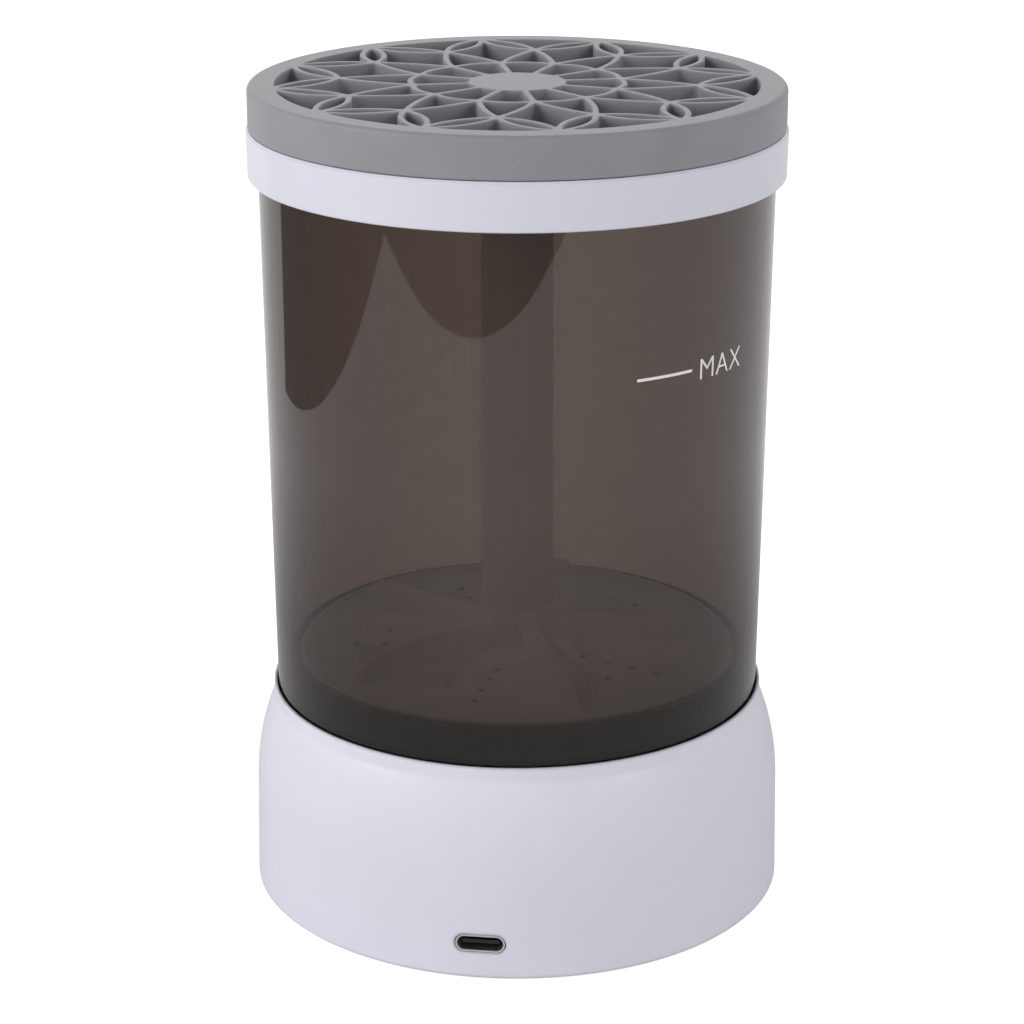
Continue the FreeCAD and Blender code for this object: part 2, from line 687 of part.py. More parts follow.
def makeBaseHousing():
    # The moulded shell: drafted side, curved shoulder, thin collar, deck with its bush boss,
    # screw bosses, ribs for the cell and the switch board, and the cut-outs in its side.
    body = newBody("base_housing")
    revolve(body, "Shell", [
        (baseRadius - size.footBevel, shellBottom),
        (baseRadius, shellBottom + size.footBevel),
        (baseRadius - size.baseDraft, shellBottom + size.sideHeight,
         size.shoulderBend, True),
        (lipOutside, shellTop - size.collarHeight),
        (lipOutside, shellTop - size.lipRound),
        (lipOutside - size.lipRound, shellTop),
        (mouthRadius, shellTop),
        (mouthRadius, deckTop),
        (bushOutside, deckTop),
        (bushOutside, deckBossUnder),
        (size.bushBossRadius, deckBossUnder),
        (size.bushBossRadius, deckUnder),
        (cavityTop, deckUnder),
        (cavityFoot, shellBottom),
    ])
    rooted = size.deckThickness / 2
    pads(body, "CoverBosses", coverTop, deckUnder + rooted - coverTop,
         [(x, y, size.bossRadius) for x, y in coverScrews])
    pads(body, "CoverPilots", coverTop, size.pilotDepth,
         [(x, y, size.pilotRadius) for x, y in coverScrews], cut=True)
    pads(body, "PlateBosses", plateTop, deckUnder + rooted - plateTop,
         [(x, y, size.bossRadius) for x, y in plateScrews])
    pads(body, "PlatePilots", plateTop, size.platePilotDepth,
         [(x, y, size.smallScrewRadius) for x, y in plateScrews], cut=True)
    pegX, pegY = polar(keyCircle, size.keyAzimuth)
    peg = pads(body, "Peg", deckTop - rooted, rooted + size.keyHeight,
               [(pegX, pegY, size.keyRadius)])
    pattern(body, "Pegs", [peg], size.keyCount)
    clampUnder = cellMiddle + size.cellRadius + size.cellPlay
    clamps = newSketch(body, "ClampOutline", "XY_Plane", clampUnder)
    for side in (-1, 1):
        middle = size.saddleSide * side
        drawBox(clamps, middle - size.saddleWidth / 2, size.cellBack - size.clampHalf,
                middle + size.saddleWidth / 2, size.cellBack + size.clampHalf)
    extrude(body, "CellClamps", clamps, deckUnder + rooted - clampUnder)
    ribUnder = buttonMiddle - size.switchBoardLow
    ribs = newSketch(body, "RibOutline", "XY_Plane", ribUnder)
    inner = size.switchBoardHalf + size.slotGap - size.slotDepth
    outer = inner + size.ribWidth
    ribFront = switchBoardRear - size.ribInside
    ribBack = cavityAt(ribUnder) + size.ribRoot - outer * outer / (2 * baseRadius)
    drawBox(ribs, inner, ribFront, outer, ribBack)
    drawBox(ribs, -outer, ribFront, -inner, ribBack)
    extrude(body, "BoardRibs", ribs, deckUnder + rooted - ribUnder)
    slots = newSketch(body, "SlotOutline", "XY_Plane", ribUnder)
    drawBox(slots, -(size.switchBoardHalf + size.slotGap), switchBoardRear - size.slotGap,
            size.switchBoardHalf + size.slotGap, switchRear + size.slotGap)
    extrude(body, "BoardSlots", slots, size.switchBoardTall + size.slotGap,
            cut=True, reverse=True)
    port = newSketch(body, "PortOutline", "XZ_Plane", baseRadius)
    drawOutline(port, stadium(size.socketWidth / 2 + size.portGap,
                              size.socketTall / 2 + size.portGap, portMiddle))
    extrude(body, "PortOpening", port, baseRadius - boardFront, cut=True)
    back = newSketch(body, "ButtonOutline", "XZ_Plane", -flangeRear)
    drawCircle(back, 0, buttonMiddle, size.buttonRadius + size.buttonGap)
    drawCircle(back, 0, lensMiddle, size.lensRadius + size.lensGap)
    extrude(body, "ButtonOpening", back, baseRadius - flangeRear, cut=True)
    return body


def makeBottomCover():
    # The cover with its feet wells, screw holes, cell saddles and board posts.
    body = newBody("bottom_cover")
    revolve(body, "Plate", [
        (0, coverBottom),
        (coverRadius, coverBottom),
        (coverRadius, coverTop),
        (0, coverTop),
    ])
    saddles = newSketch(body, "SaddleOutline", "XY_Plane", coverTop - size.coverInset)
    for side in (-1, 1):
        middle = size.saddleSide * side
        drawBox(saddles, middle - size.saddleWidth / 2, size.cellBack - size.saddleHalf,
                middle + size.saddleWidth / 2, size.cellBack + size.saddleHalf)
    extrude(body, "Saddles", saddles, size.saddleHeight + size.coverInset)
    cradle = newSketch(body, "CradleOutline", "YZ_Plane")
    drawCircle(cradle, size.cellBack, cellMiddle, size.cellRadius + size.cellPlay)
    extrude(body, "Cradle", cradle, size.cellLength, cut=True, both=True)
    pads(body, "BoardPosts", coverTop - size.coverInset,
         boardUnder - coverTop + size.coverInset,
         [(x, y, size.boardPostRadius) for x, y in boardScrews])
    pads(body, "BoardPilots", coverBottom + size.coverThickness / 2,
         boardUnder - coverBottom - size.coverThickness / 2,
         [(x, y, size.smallScrewRadius) for x, y in boardScrews], cut=True)
    pads(body, "ScrewHoles", coverBottom, size.coverThickness,
         [(x, y, size.pilotRadius + size.shankGap) for x, y in coverScrews], cut=True)
    pads(body, "HeadWells", coverBottom, size.headHeight,
         [(x, y, size.headRadius + size.shankGap) for x, y in coverScrews], cut=True)
    wellX, wellY = polar(footCircle, HALF_TURN / size.footCount)
    well = pads(body, "FootWell", coverBottom, size.footSink,
                [(wellX, wellY, size.footRadius)], cut=True)
    pattern(body, "FootWells", [well], size.footCount)
    return body


def makeScrews(label, places, headUnder, headTop, headRadius, shankRadius, tip):
    # Pan-head screws that share one node; the shank leaves the head towards its tip.
    body = newBody(label)
    pads(body, "Heads", headUnder, headTop - headUnder,
         [(x, y, headRadius) for x, y in places])
    low, high = (headTop, tip) if tip.value > headTop.value else (tip, headUnder)
    pads(body, "Shanks", low, high - low, [(x, y, shankRadius) for x, y in places])
    return body


def makeFeet():
    body = newBody("rubber_feet")
    footX, footY = polar(footCircle, HALF_TURN / size.footCount)
    foot = pads(body, "Foot", asDim(0), coverBottom + size.footSink,
                [(footX, footY, size.footRadius)])
    pattern(body, "Feet", [foot], size.footCount)
    return body


def makeMotorPlate():
    # The plate that hangs under the deck and carries the motor and the lower output bush.
    body = newBody("motor_plate")
    outline = newSketch(body, "Outline", "XY_Plane", plateUnder)
    frontY = frontScrew[1]
    sideY = -(size.plateScrewFront + size.plateEar)
    drawOutline(outline, [
        (size.plateHalfWidth, size.plateBack),
        (-size.plateHalfWidth, size.plateBack),
        (-size.plateHalfWidth, sideY),
        (-size.plateEar, frontY - size.plateEar),
        (size.plateEar, frontY - size.plateEar),
        (size.plateHalfWidth, sideY),
    ])
    extrude(body, "Plate", outline, size.plateThickness)
    dress(body, "Fillet", "Corners",
          lambda edge: edge.BoundBox.ZLength > edge.BoundBox.XLength + edge.BoundBox.YLength,
          size.plateCorner)
    pads(body, "BushBoss", plateBossUnder, plateUnder - plateBossUnder,
         [(0, 0, size.bushBossRadius)])
    pads(body, "BushSeat", plateBossUnder, plateTop - plateBossUnder,
         [(0, 0, bushOutside)], cut=True)
    holes = [(0, -gearSpacing, size.motorNoseRadius + size.shankGap / 2)]
    holes += [(x, y, size.smallScrewRadius + size.shankGap / 2) for x, y in plateScrews]
    holes += [(x, y, size.smallScrewRadius + size.shankGap / 2) for x, y in motorScrews]
    pads(body, "Holes", plateUnder, size.plateThickness, holes, cut=True)
    return body


def makeMotorCan():
    # The motor: drawn can, bush nose on top, moulded end below, blind bore for its shaft.
    body = newBody("motor_can")
    noseTop = plateUnder + size.motorNose
    boreRadius = size.motorShaftRadius + size.runningGap
    revolve(body, "Can", [
        (0, motorUnder - size.motorEnd),
        (size.motorEndRadius, motorUnder - size.motorEnd),
        (size.motorEndRadius, motorUnder),
        (size.motorRadius, motorUnder),
        (size.motorRadius, plateUnder - size.motorRound),
        (size.motorRadius - size.motorRound, plateUnder),
        (size.motorNoseRadius, plateUnder),
        (size.motorNoseRadius, noseTop),
        (boreRadius, noseTop),
        (boreRadius, plateUnder - size.motorShaftSunk),
        (0, plateUnder - size.motorShaftSunk),
    ])
    pads(body, "ScrewHoles", plateUnder - size.motorScrewDepth, size.motorScrewDepth,
         [(x, y + gearSpacing, size.smallScrewRadius) for x, y in motorScrews], cut=True)
    setPlacement(body, y=-gearSpacing)
    return body


def makeTube(label, low, high, outside, bore, flangeRadius=None, flangeLow=None, flangeHigh=None):
    # A turned tube, with a flange where one is asked for.
    body = newBody(label)
    revolve(body, "Tube", [(bore, low), (outside, low), (outside, high), (bore, high)])
    if flangeRadius is not None:
        revolve(body, "Flange", [
            (bore, flangeLow),
            (flangeRadius, flangeLow),
            (flangeRadius, flangeHigh),
            (bore, flangeHigh),
        ])
    return body


def makeRod(label, low, high, radius):
    body = newBody(label)
    revolve(body, "Rod", [(0, low), (radius, low), (radius, high), (0, high)])
    return body


def involutePoint(baseRadius, radius, turn):
    # The point at a radius on the involute of a base circle, turned by an angle.
    roll = math.sqrt(max((radius / baseRadius) ** 2 - 1.0, 0.0))
    angle = roll - math.atan(roll) + turn
    return FreeCAD.Vector(radius * math.cos(angle), radius * math.sin(angle), 0)


def mirrored(point):
    return FreeCAD.Vector(point.x, -point.y, 0)


def gearWire(teeth, module, play):
    # A spur gear's outline: involute flanks as three-point arcs, round tips and roots.
    pressure = math.radians(size.toothPressure.value)
    pitchRadius = module * teeth / 2
    baseRadius = pitchRadius * math.cos(pressure)
    tipRadius = pitchRadius + size.toothTip.value * module
    rootRadius = pitchRadius - size.toothRoot.value * module
    halfTooth = (math.pi * module / 2 - play) / (2 * pitchRadius)
    turn = -halfTooth - (math.tan(pressure) - pressure)
    lowRadius = max(baseRadius, rootRadius)
    low = involutePoint(baseRadius, lowRadius, turn)
    middle = involutePoint(baseRadius, (lowRadius + tipRadius) / 2, turn)
    high = involutePoint(baseRadius, tipRadius, turn)
    root = FreeCAD.Vector(low).normalize() * rootRadius
    tip = FreeCAD.Vector(tipRadius, 0, 0)
    step = 2 * math.pi / teeth
    nextRoot = rotated(root, step)
    valley = FreeCAD.Vector(
        rootRadius * math.cos(step / 2), rootRadius * math.sin(step / 2), 0
    )
    edges = []
    for tooth in range(int(teeth)):
        angle = tooth * step
        pieces = [
            Part.Arc(low, middle, high),
            Part.Arc(high, tip, mirrored(high)),
            Part.Arc(mirrored(high), mirrored(middle), mirrored(low)),
            Part.Arc(mirrored(root), valley, nextRoot),
        ]
        if lowRadius > rootRadius:
            pieces.insert(0, Part.LineSegment(root, low))
            pieces.insert(4, Part.LineSegment(mirrored(low), mirrored(root)))
        for piece in pieces:
            edge = piece.toShape()
            edge.rotate(FreeCAD.Vector(0, 0, 0), FreeCAD.Vector(0, 0, 1), math.degrees(angle))
            edges.append(edge)
    return Part.Wire(edges)


def rotated(point, angle):
    return FreeCAD.Vector(
        point.x * math.cos(angle) - point.y * math.sin(angle),
        point.x * math.sin(angle) + point.y * math.cos(angle),
        0,
    )


def makeGear(label, teeth, low, face, bore, hubs):
    # A gear with a bore and round hubs, each (radius, low, high).
    up = FreeCAD.Vector(0, 0, 1)
    wire = gearWire(teeth.value, size.gearModule.value, size.toothPlay.value)
    shape = Part.Face(wire).extrude(up * face.value)
    shape.translate(up * low.value)
    lowest = low.value
    highest = low.value + face.value
    for radius, hubLow, hubHigh in hubs:
        hub = Part.makeCylinder(radius.value, hubHigh.value - hubLow.value,
                                up * hubLow.value)
        shape = shape.fuse(hub)
        lowest = min(lowest, hubLow.value)
        highest = max(highest, hubHigh.value)
    shape = shape.cut(Part.makeCylinder(bore.value, highest - lowest, up * lowest))
    feature = document.addObject("Part::Feature", label)
    feature.Label = label
    feature.Shape = shape.removeSplitter()
    return feature


def makeOutputGear():
    hubLow = plateTop + size.bushRise + size.hubPlay
    hubHigh = deckBossUnder - size.hubPlay
    return makeGear("output_gear", size.gearTeeth, gearUnder, size.gearFace, size.shaftRadius,
                    [(size.hubRadius, hubLow, hubHigh)])


def makeMotorPinion():
    # The pinion turned by half a tooth, so that it meets the gear's tooth with a gap.
    low = gearTop - size.gearFace / 2 - size.pinionFace / 2
    feature = makeGear("motor_pinion", size.pinionTeeth, low, size.pinionFace,
                       size.motorShaftRadius, [])
    setPlacement(feature, azimuth=HALF_TURN / size.pinionTeeth, y=-gearSpacing)
    return feature


def makeMotorShaft():
    top = gearTop - size.gearFace / 2 + size.pinionFace / 2
    body = makeRod("motor_shaft", plateUnder - size.motorShaftSunk + size.runningGap, top,
                   size.motorShaftRadius)
    setPlacement(body, y=-gearSpacing)
    return body


def hexagon(acrossFlats):
    corner = acrossFlats / 2 / math.cos(math.pi / HEX_SIDES)
    return [polar(corner, side * FULL_TURN / HEX_SIDES) for side in range(HEX_SIDES)]


def makeDriveDog():
    # The base's dog: a flange and a hexagon that stands into the tank's socket.
    body = newBody("drive_dog")
    flangeTop = drivenUnder - size.dogEndGap
    hexTop = drivenSocketTop - size.dogEndGap
    pads(body, "Flange", dogUnder, flangeTop - dogUnder, [(0, 0, size.dogFlange)])
    outline = newSketch(body, "Hexagon", "XY_Plane", flangeTop)
    drawOutline(outline, hexagon(size.dogFlats))
    extrude(body, "Spigot", outline, hexTop - flangeTop)
    dress(body, "Chamfer", "LeadIn",
          lambda edge: edge.BoundBox.ZMin > hexTop.value - TOLERANCE,
          size.dogEndGap)
    pads(body, "ShaftSeat", dogUnder, hexTop - dogUnder - size.dogCap,
         [(0, 0, size.shaftRadius)], cut=True)
    return body


def makeDrivenDog():
    # The tank's dog: a cup with a hexagon socket below and the shaft's seat above.
    body = newBody("driven_dog")
    pads(body, "Cup", drivenUnder, drivenTop - drivenUnder, [(0, 0, size.dogRadius)])
    outline = newSketch(body, "Hexagon", "XY_Plane", drivenUnder)
    drawOutline(outline, hexagon(size.dogFlats + size.dogGap * 2))
    extrude(body, "Socket", outline, size.dogDepth, cut=True, reverse=True)
    pads(body, "ShaftSeat", drivenSocketTop, size.dogWeb, [(0, 0, size.shaftRadius)], cut=True)
    return body


# ---- electrics ------------------------------------------------------------------------------

def makeCell():
    # The lithium cell, lying from left to right, with its raised end.
    body = newBody("battery_cell")
    outline = newSketch(body, "Outline", "YZ_Plane")
    drawCircle(outline, size.cellBack, cellMiddle, size.cellRadius)
    extrude(body, "Can", outline, size.cellLength - size.cellCap * 2, both=True)
    tip = newSketch(body, "TipOutline", "YZ_Plane")
    drawCircle(tip, size.cellBack, cellMiddle, size.cellTipRadius)
    extrude(body, "Tip", tip, size.cellLength / 2)
    return body


def makeMainBoard():
    body = newBody("main_board")
    outline = newSketch(body, "Outline", "XY_Plane", boardUnder)
    drawOutline(outline, [
        (size.boardHalfWidth, -size.boardBack),
        (-size.boardHalfWidth, -size.boardBack),
        (-size.boardHalfWidth, -boardFront),
        (-size.tongueHalfWidth, -tongueFront),
        (size.tongueHalfWidth, -tongueFront),
        (size.boardHalfWidth, -boardFront),
    ])
    extrude(body, "Board", outline, size.boardThickness)
    pads(body, "Holes", boardUnder, size.boardThickness,
         [(x, y, size.smallScrewRadius + size.shankGap / 2) for x, y in boardScrews], cut=True)
    return body


def makeSocketShell():
    body = newBody("usb_socket_shell")
    outline = newSketch(body, "Outline", "XZ_Plane", socketFront - size.socketDepth)
    drawOutline(outline, stadium(size.socketWidth / 2, size.socketTall / 2, portMiddle))
    extrude(body, "Shell", outline, size.socketDepth)
    inside = newSketch(body, "InsideOutline", "XZ_Plane", socketFront)
    drawOutline(inside, stadium(size.socketWidth / 2 - size.socketWall,
                                size.socketTall / 2 - size.socketWall, portMiddle))
    extrude(body, "Inside", inside, size.socketDepth, cut=True)
    return body


def makeSocketInsulator():
    # The moulding that closes the socket's back and carries the contact tongue.
    body = newBody("usb_socket_tongue")
    rear = socketFront - size.socketDepth
    outline = newSketch(body, "Outline", "XZ_Plane", rear)
    drawOutline(outline, stadium(size.socketWidth / 2 - size.socketWall,
                                 size.socketTall / 2 - size.socketWall, portMiddle))
    extrude(body, "Back", outline, size.socketBack)
    tongue = newSketch(body, "TongueOutline", "XZ_Plane", rear)
    drawBox(tongue, -size.tongueWidth / 2, portMiddle - size.tongueTall / 2,
            size.tongueWidth / 2, portMiddle + size.tongueTall / 2)
    extrude(body, "Tongue", tongue, size.socketDepth - size.tongueSet)
    return body


def makeSwitchBoard():
    body = newBody("switch_board")
    low = buttonMiddle - size.switchBoardLow
    outline = newSketch(body, "Outline", "XZ_Plane", -switchRear)
    drawBox(outline, -size.switchBoardHalf, low, size.switchBoardHalf,
            low + size.switchBoardTall)
    extrude(body, "Board", outline, size.boardThickness)
    return body


def makeTactSwitch():
    body = newBody("tact_switch")
    outline = newSketch(body, "Outline", "XZ_Plane", -switchFront)
    drawBox(outline, -size.switchHalf, buttonMiddle - size.switchHalf,
            size.switchHalf, buttonMiddle + size.switchHalf)
    extrude(body, "Case", outline, size.switchBody)
    nub = newSketch(body, "NubOutline", "XZ_Plane", -nubTip)
    drawCircle(nub, 0, buttonMiddle, size.switchNubRadius)
    extrude(body, "Nub", nub, size.switchNub)
    return body


def makeButton():
    # The power button: a dished face, a flange that holds it in the shell, and its stem.
    body = newBody("power_button")
    parts = (
        ("Cap", buttonFace, flangeFront, size.buttonRadius),
        ("Flange", flangeFront, flangeRear, size.flangeRadius),
        ("Stem", flangeRear, stemTip, size.stemRadius),
    )
    for name, front, rear, radius in parts:
        outline = newSketch(body, name + "Outline", "XZ_Plane", -front)
        drawCircle(outline, 0, buttonMiddle, radius)
        extrude(body, name, outline, front - rear)
    dish = newSketch(body, "DishOutline", "XZ_Plane", -buttonFace)
    drawCircle(dish, 0, buttonMiddle, size.buttonRadius - size.dishRim)
    extrude(body, "Dish", dish, size.buttonDish, cut=True, reverse=True)
    return body


def makeLens():
    # The charging light's lens: a short light guide with a shoulder behind the shell.
    body = newBody("charge_lens")
    face = cavityAt(lensMiddle) + size.shellWall / 2
    seat = cavityAt(lensMiddle + size.lensFlange) - size.lensSeat
    guide = newSketch(body, "GuideOutline", "XZ_Plane", -face)
    drawCircle(guide, 0, lensMiddle, size.lensRadius)
    extrude(body, "Guide", guide, face - seat)
    shoulder = newSketch(body, "ShoulderOutline", "XZ_Plane", -seat)
    drawCircle(shoulder, 0, lensMiddle, size.lensFlange)
    extrude(body, "Shoulder", shoulder, size.lensRear)
    return body


# ---- tank -----------------------------------------------------------------------------------

def makeTank():
    # The clear tube: drafted, open at both ends, bevelled at its rim.
    body = newBody("tank")
    revolve(body, "Wall", [
        (tankOutside(skirtBottom), skirtBottom),
        (tankOutside(tankTop), tankTop),
        (tankOutside(tankTop) - size.tankWall, tankTop),
        (tankOutside(skirtBottom) - size.tankWall, skirtBottom),
    ])
    dress(body, "Chamfer", "Rim", ringAt(tankOutside(tankTop), tankTop), size.tankRimRound)
    return body


def makeTankFoot():
    # The black foot glued into the tube: outer wall with the ring round the wash plate, floor
    # with the standpipe that carries the shaft, collar round the dog, peg sockets.
    body = newBody("tank_foot")
    collarOutside = size.plugCollar + size.plugCollarWall
    collarUnder = skirtBottom + size.plugCollarRise
    revolve(body, "Plug", [
        (plugOutside, skirtBottom),
        (wellOutside, wellTop),
        (wellRadius + size.wellBevel, wellTop),
        (wellRadius, wellTop - size.wellBevel),
        (wellRadius, floorTop),
        (size.pipeFoot, floorTop),
        (size.pipeTip, pipeTop),
        (size.pipeBore, pipeTop),
        (size.pipeBore, floorUnder),
        (size.plugCollar, floorUnder),
        (size.plugCollar, collarUnder),
        (collarOutside, collarUnder),
        (collarOutside, floorUnder),
        (plugOutside - size.plugWall, floorUnder),
        (plugOutside - size.plugWall, skirtBottom),
    ])
    socketX, socketY = polar(keyCircle, size.keyAzimuth)
    socketRadius = size.keyRadius + size.keyPlay
    rooted = size.floorThickness / 2
    post = pads(body, "PegPost", skirtBottom, floorUnder + rooted - skirtBottom,
                [(socketX, socketY, socketRadius + size.keyWall)])
    hole = pads(body, "PegSocket", skirtBottom, size.keyHeight + size.keyPlay,
                [(socketX, socketY, socketRadius)], cut=True)
    pattern(body, "PegSockets", [post, hole], size.keyCount)
    return body


def makeTankShaft():
    # The long shaft: round, with a flat at its top for the sleeve's keyed socket.
    body = newBody("tank_shaft")
    top = sleeveBoreTop + size.keyedDepth - size.dogEndGap
    pads(body, "Rod", drivenSocketTop, top - drivenSocketTop, [(0, 0, size.shaftRadius)])
    flat = newSketch(body, "FlatOutline", "XY_Plane", sleeveBoreTop)
    edge = size.shaftRadius - size.keyedFlat
    drawBox(flat, edge, -size.shaftRadius, size.shaftRadius, size.shaftRadius)
    extrude(body, "Flat", flat, top - sleeveBoreTop, cut=True, reverse=True)
    revolve(body, "ClipGroove", [
        (size.shaftRadius - size.clipSink, clipUnder),
        (size.shaftRadius, clipUnder),
        (size.shaftRadius, clipUnder + size.clipThickness),
        (size.shaftRadius - size.clipSink, clipUnder + size.clipThickness),
    ], cut=True)
    return body


def makeClip():
    # The retaining ring, open at one side, in the shaft's groove.
    body = newBody("shaft_clip")
    inner = size.shaftRadius - size.clipSink
    makeRingPads(body, inner, inner + size.clipWidth, clipUnder, size.clipThickness)
    mouth = newSketch(body, "MouthOutline", "XY_Plane", clipUnder)
    drawBox(mouth, asDim(0), -inner, inner + size.clipWidth * 2, inner)
    extrude(body, "Mouth", mouth, size.clipThickness, cut=True, reverse=True)
    return body


def makeRingPads(body, inner, outer, low, height):
    sketch = newSketch(body, "RingOutline", "XY_Plane", low)
    drawCircle(sketch, 0, 0, outer)
    drawCircle(sketch, 0, 0, inner)
    extrude(body, "Ring", sketch, height)


def makeSleeve():
    # The tall tapered sleeve: bore round the standpipe, keyed socket in its head, foot in the hub.
    body = newBody("drive_sleeve")
    revolve(body, "Tube", [
        (size.sleeveBore, spigotUnder),
        (size.spigotRadius, spigotUnder),
        (size.spigotRadius, sleeveUnder),
        (size.sleeveRadius, sleeveUnder),
        (sleeveCrown, sleeveTop),
        (0, sleeveTop),
        (0, sleeveBoreTop),
        (size.sleeveBore, sleeveBoreTop),
    ])
    dress(body, "Chamfer", "Crown", ringAt(sleeveCrown, sleeveTop), size.sleeveRound)
    key = newSketch(body, "KeyOutline", "XY_Plane", sleeveBoreTop)
    radius = size.shaftRadius + size.keyedGap
    flatAt = size.shaftRadius - size.keyedFlat + size.keyedGap
    half = math.sqrt(radius.value ** 2 - flatAt.value ** 2)
    halfText = f"sqrt(({radius.text}) ^ 2 - ({flatAt.text}) ^ 2)"
    halfChord = Dim(half, halfText)
    drawOutline(key, [
        (flatAt, halfChord, radius, True),
        (-radius, asDim(0), radius, True),
        (flatAt, -halfChord),
    ])
    extrude(body, "KeySocket", key, size.keyedDepth, cut=True, reverse=True)
    return body


def makeWashPlate():
    # The spinning wash plate: thin disc, flared hub, five vanes with soft roots, drain holes,
    # and the bore for standpipe and sleeve.
    body = newBody("wash_plate")
    socketRadius = size.spigotRadius + size.spigotGap
    flareOutside = size.discHubRadius + size.discHubFlare
    revolve(body, "Disc", [
        (0, discUnder),
        (discRadius, discUnder),
        (discRadius, discTop),
        (flareOutside, discTop, size.discHubFlare, False),
        (size.discHubRadius, discTop + size.discHubFlare),
        (size.discHubRadius, hubTop),
        (0, hubTop),
    ])
    dress(body, "Chamfer", "DiscEdge", ringAt(discRadius, discTop), size.discRound)
    low = discUnder + size.discThickness / 2
    vaneTop = discTop + size.vaneHeight
    vaneReach = discRadius - size.vaneInset
    vane = newSketch(body, "VaneOutline", "XZ_Plane")
    drawOutline(vane, [
        ((size.discHubRadius + socketRadius) / 2, low),
        (vaneReach, low),
        (vaneReach, vaneTop - size.vaneTipRound, size.vaneTipRound, True),
        (vaneReach - size.vaneTipRound, vaneTop),
        ((size.discHubRadius + socketRadius) / 2, vaneTop),
    ])
    blade = extrude(body, "Vane", vane, size.vaneThickness, both=True)
    root = newSketch(body, "RootOutline", "XY_Plane", low)
    rootIn = size.discHubRadius - size.vaneRootSink
    rootOut = rootIn + size.vaneRootRound
    side = size.vaneThickness / 2
    wide = side + size.vaneRootRound
    drawOutline(root, [
        (rootIn, -wide, size.vaneRootRound, False),
        (rootOut, -side),
        (rootOut, side, size.vaneRootRound, False),
        (rootIn, wide),
    ])
    soft = extrude(body, "Root", root, vaneTop - low)
    holeFirst = flareOutside + size.holeInset
    drains = [
        polar(holeFirst + size.holePitch * step, size.holeAzimuth)
        for step in range(int(size.holeCount.value))
    ]
    drains.append(polar(discRadius - size.sideHoleInset, size.sideHoleAzimuth))
    holes = pads(body, "Drains", discUnder, size.discThickness,
                 [(x, y, size.holeRadius) for x, y in drains], cut=True)
    pattern(body, "Vanes", [blade, soft, holes], size.vaneCount)
    revolve(body, "Bore", [
        (0, discUnder),
        (size.hubBore, discUnder),
        (size.hubBore, spigotUnder),
        (socketRadius, spigotUnder),
        (socketRadius, hubTop),
        (0, hubTop),
    ], cut=True)
    setPlacement(body, azimuth=size.vaneAzimuth)
    return body


# ---- lid and brush holder ---------------------------------------------------------------------

def makeLidRing():
    # The lid ring: drafted skirt outside the tank's rim, plug inside it, rib for the holder.
    body = newBody("lid_ring")
    plugUnder = tankTop - size.plugDepth
    plugOut = tankOutside(plugUnder) - size.tankWall - size.lidPlugGap
    lidBore = plugOut - size.lidPlugWall
    lidFoot = lidRadius - size.lidDraft
    revolve(body, "Ring", [
        (lidSkirtInside, lidUnder),
        (lidFoot - size.lidBevel, lidUnder),
        (lidFoot, lidUnder + size.lidBevel),
        (lidRadius, lidTop - size.lidRound),
        (lidRadius - size.lidRound, lidTop),
        (ribCircle + size.ribHalf, lidTop),
        (ribCircle + size.ribHalf, lidTop + size.ribRise),
        (ribCircle - size.ribHalf, lidTop + size.ribRise),
        (ribCircle - size.ribHalf, lidTop),
        (lidBore, lidTop),
        (lidBore, plugUnder),
        (plugOut, plugUnder),
        (plugOut, gasketTop),
        (lidSkirtInside, gasketTop),
    ])
    return body


def makeGasket():
    inner = tankOutside(tankTop) - size.tankWall - size.lidPlugGap + size.gasketTrim
    return makeTube("lid_gasket", gasketUnder, gasketTop, lidSkirtInside - size.gasketTrim,
                    inner)


def skeletonArc(start, end, rise):
    # The web's middle line from one knot to another, bulging to its left by the rise.
    chord = end - start
    left = FreeCAD.Vector(-chord.y, chord.x, 0).normalize()
    middle = (start + end) / 2 + left * rise
    return Part.Arc(start, middle, end).toShape()


def roundArc(radius, first, last):
    # A piece of a circle round the axis, between two azimuths in degrees.
    points = [
        FreeCAD.Vector(radius * math.cos(math.radians(a)), radius * math.sin(math.radians(a)), 0)
        for a in (first, (first + last) / 2, last)
    ]
    return Part.Arc(*points).toShape()


def knot(radius, azimuth):
    angle = math.radians(azimuth)
    return FreeCAD.Vector(radius * math.cos(angle), radius * math.sin(angle), 0)


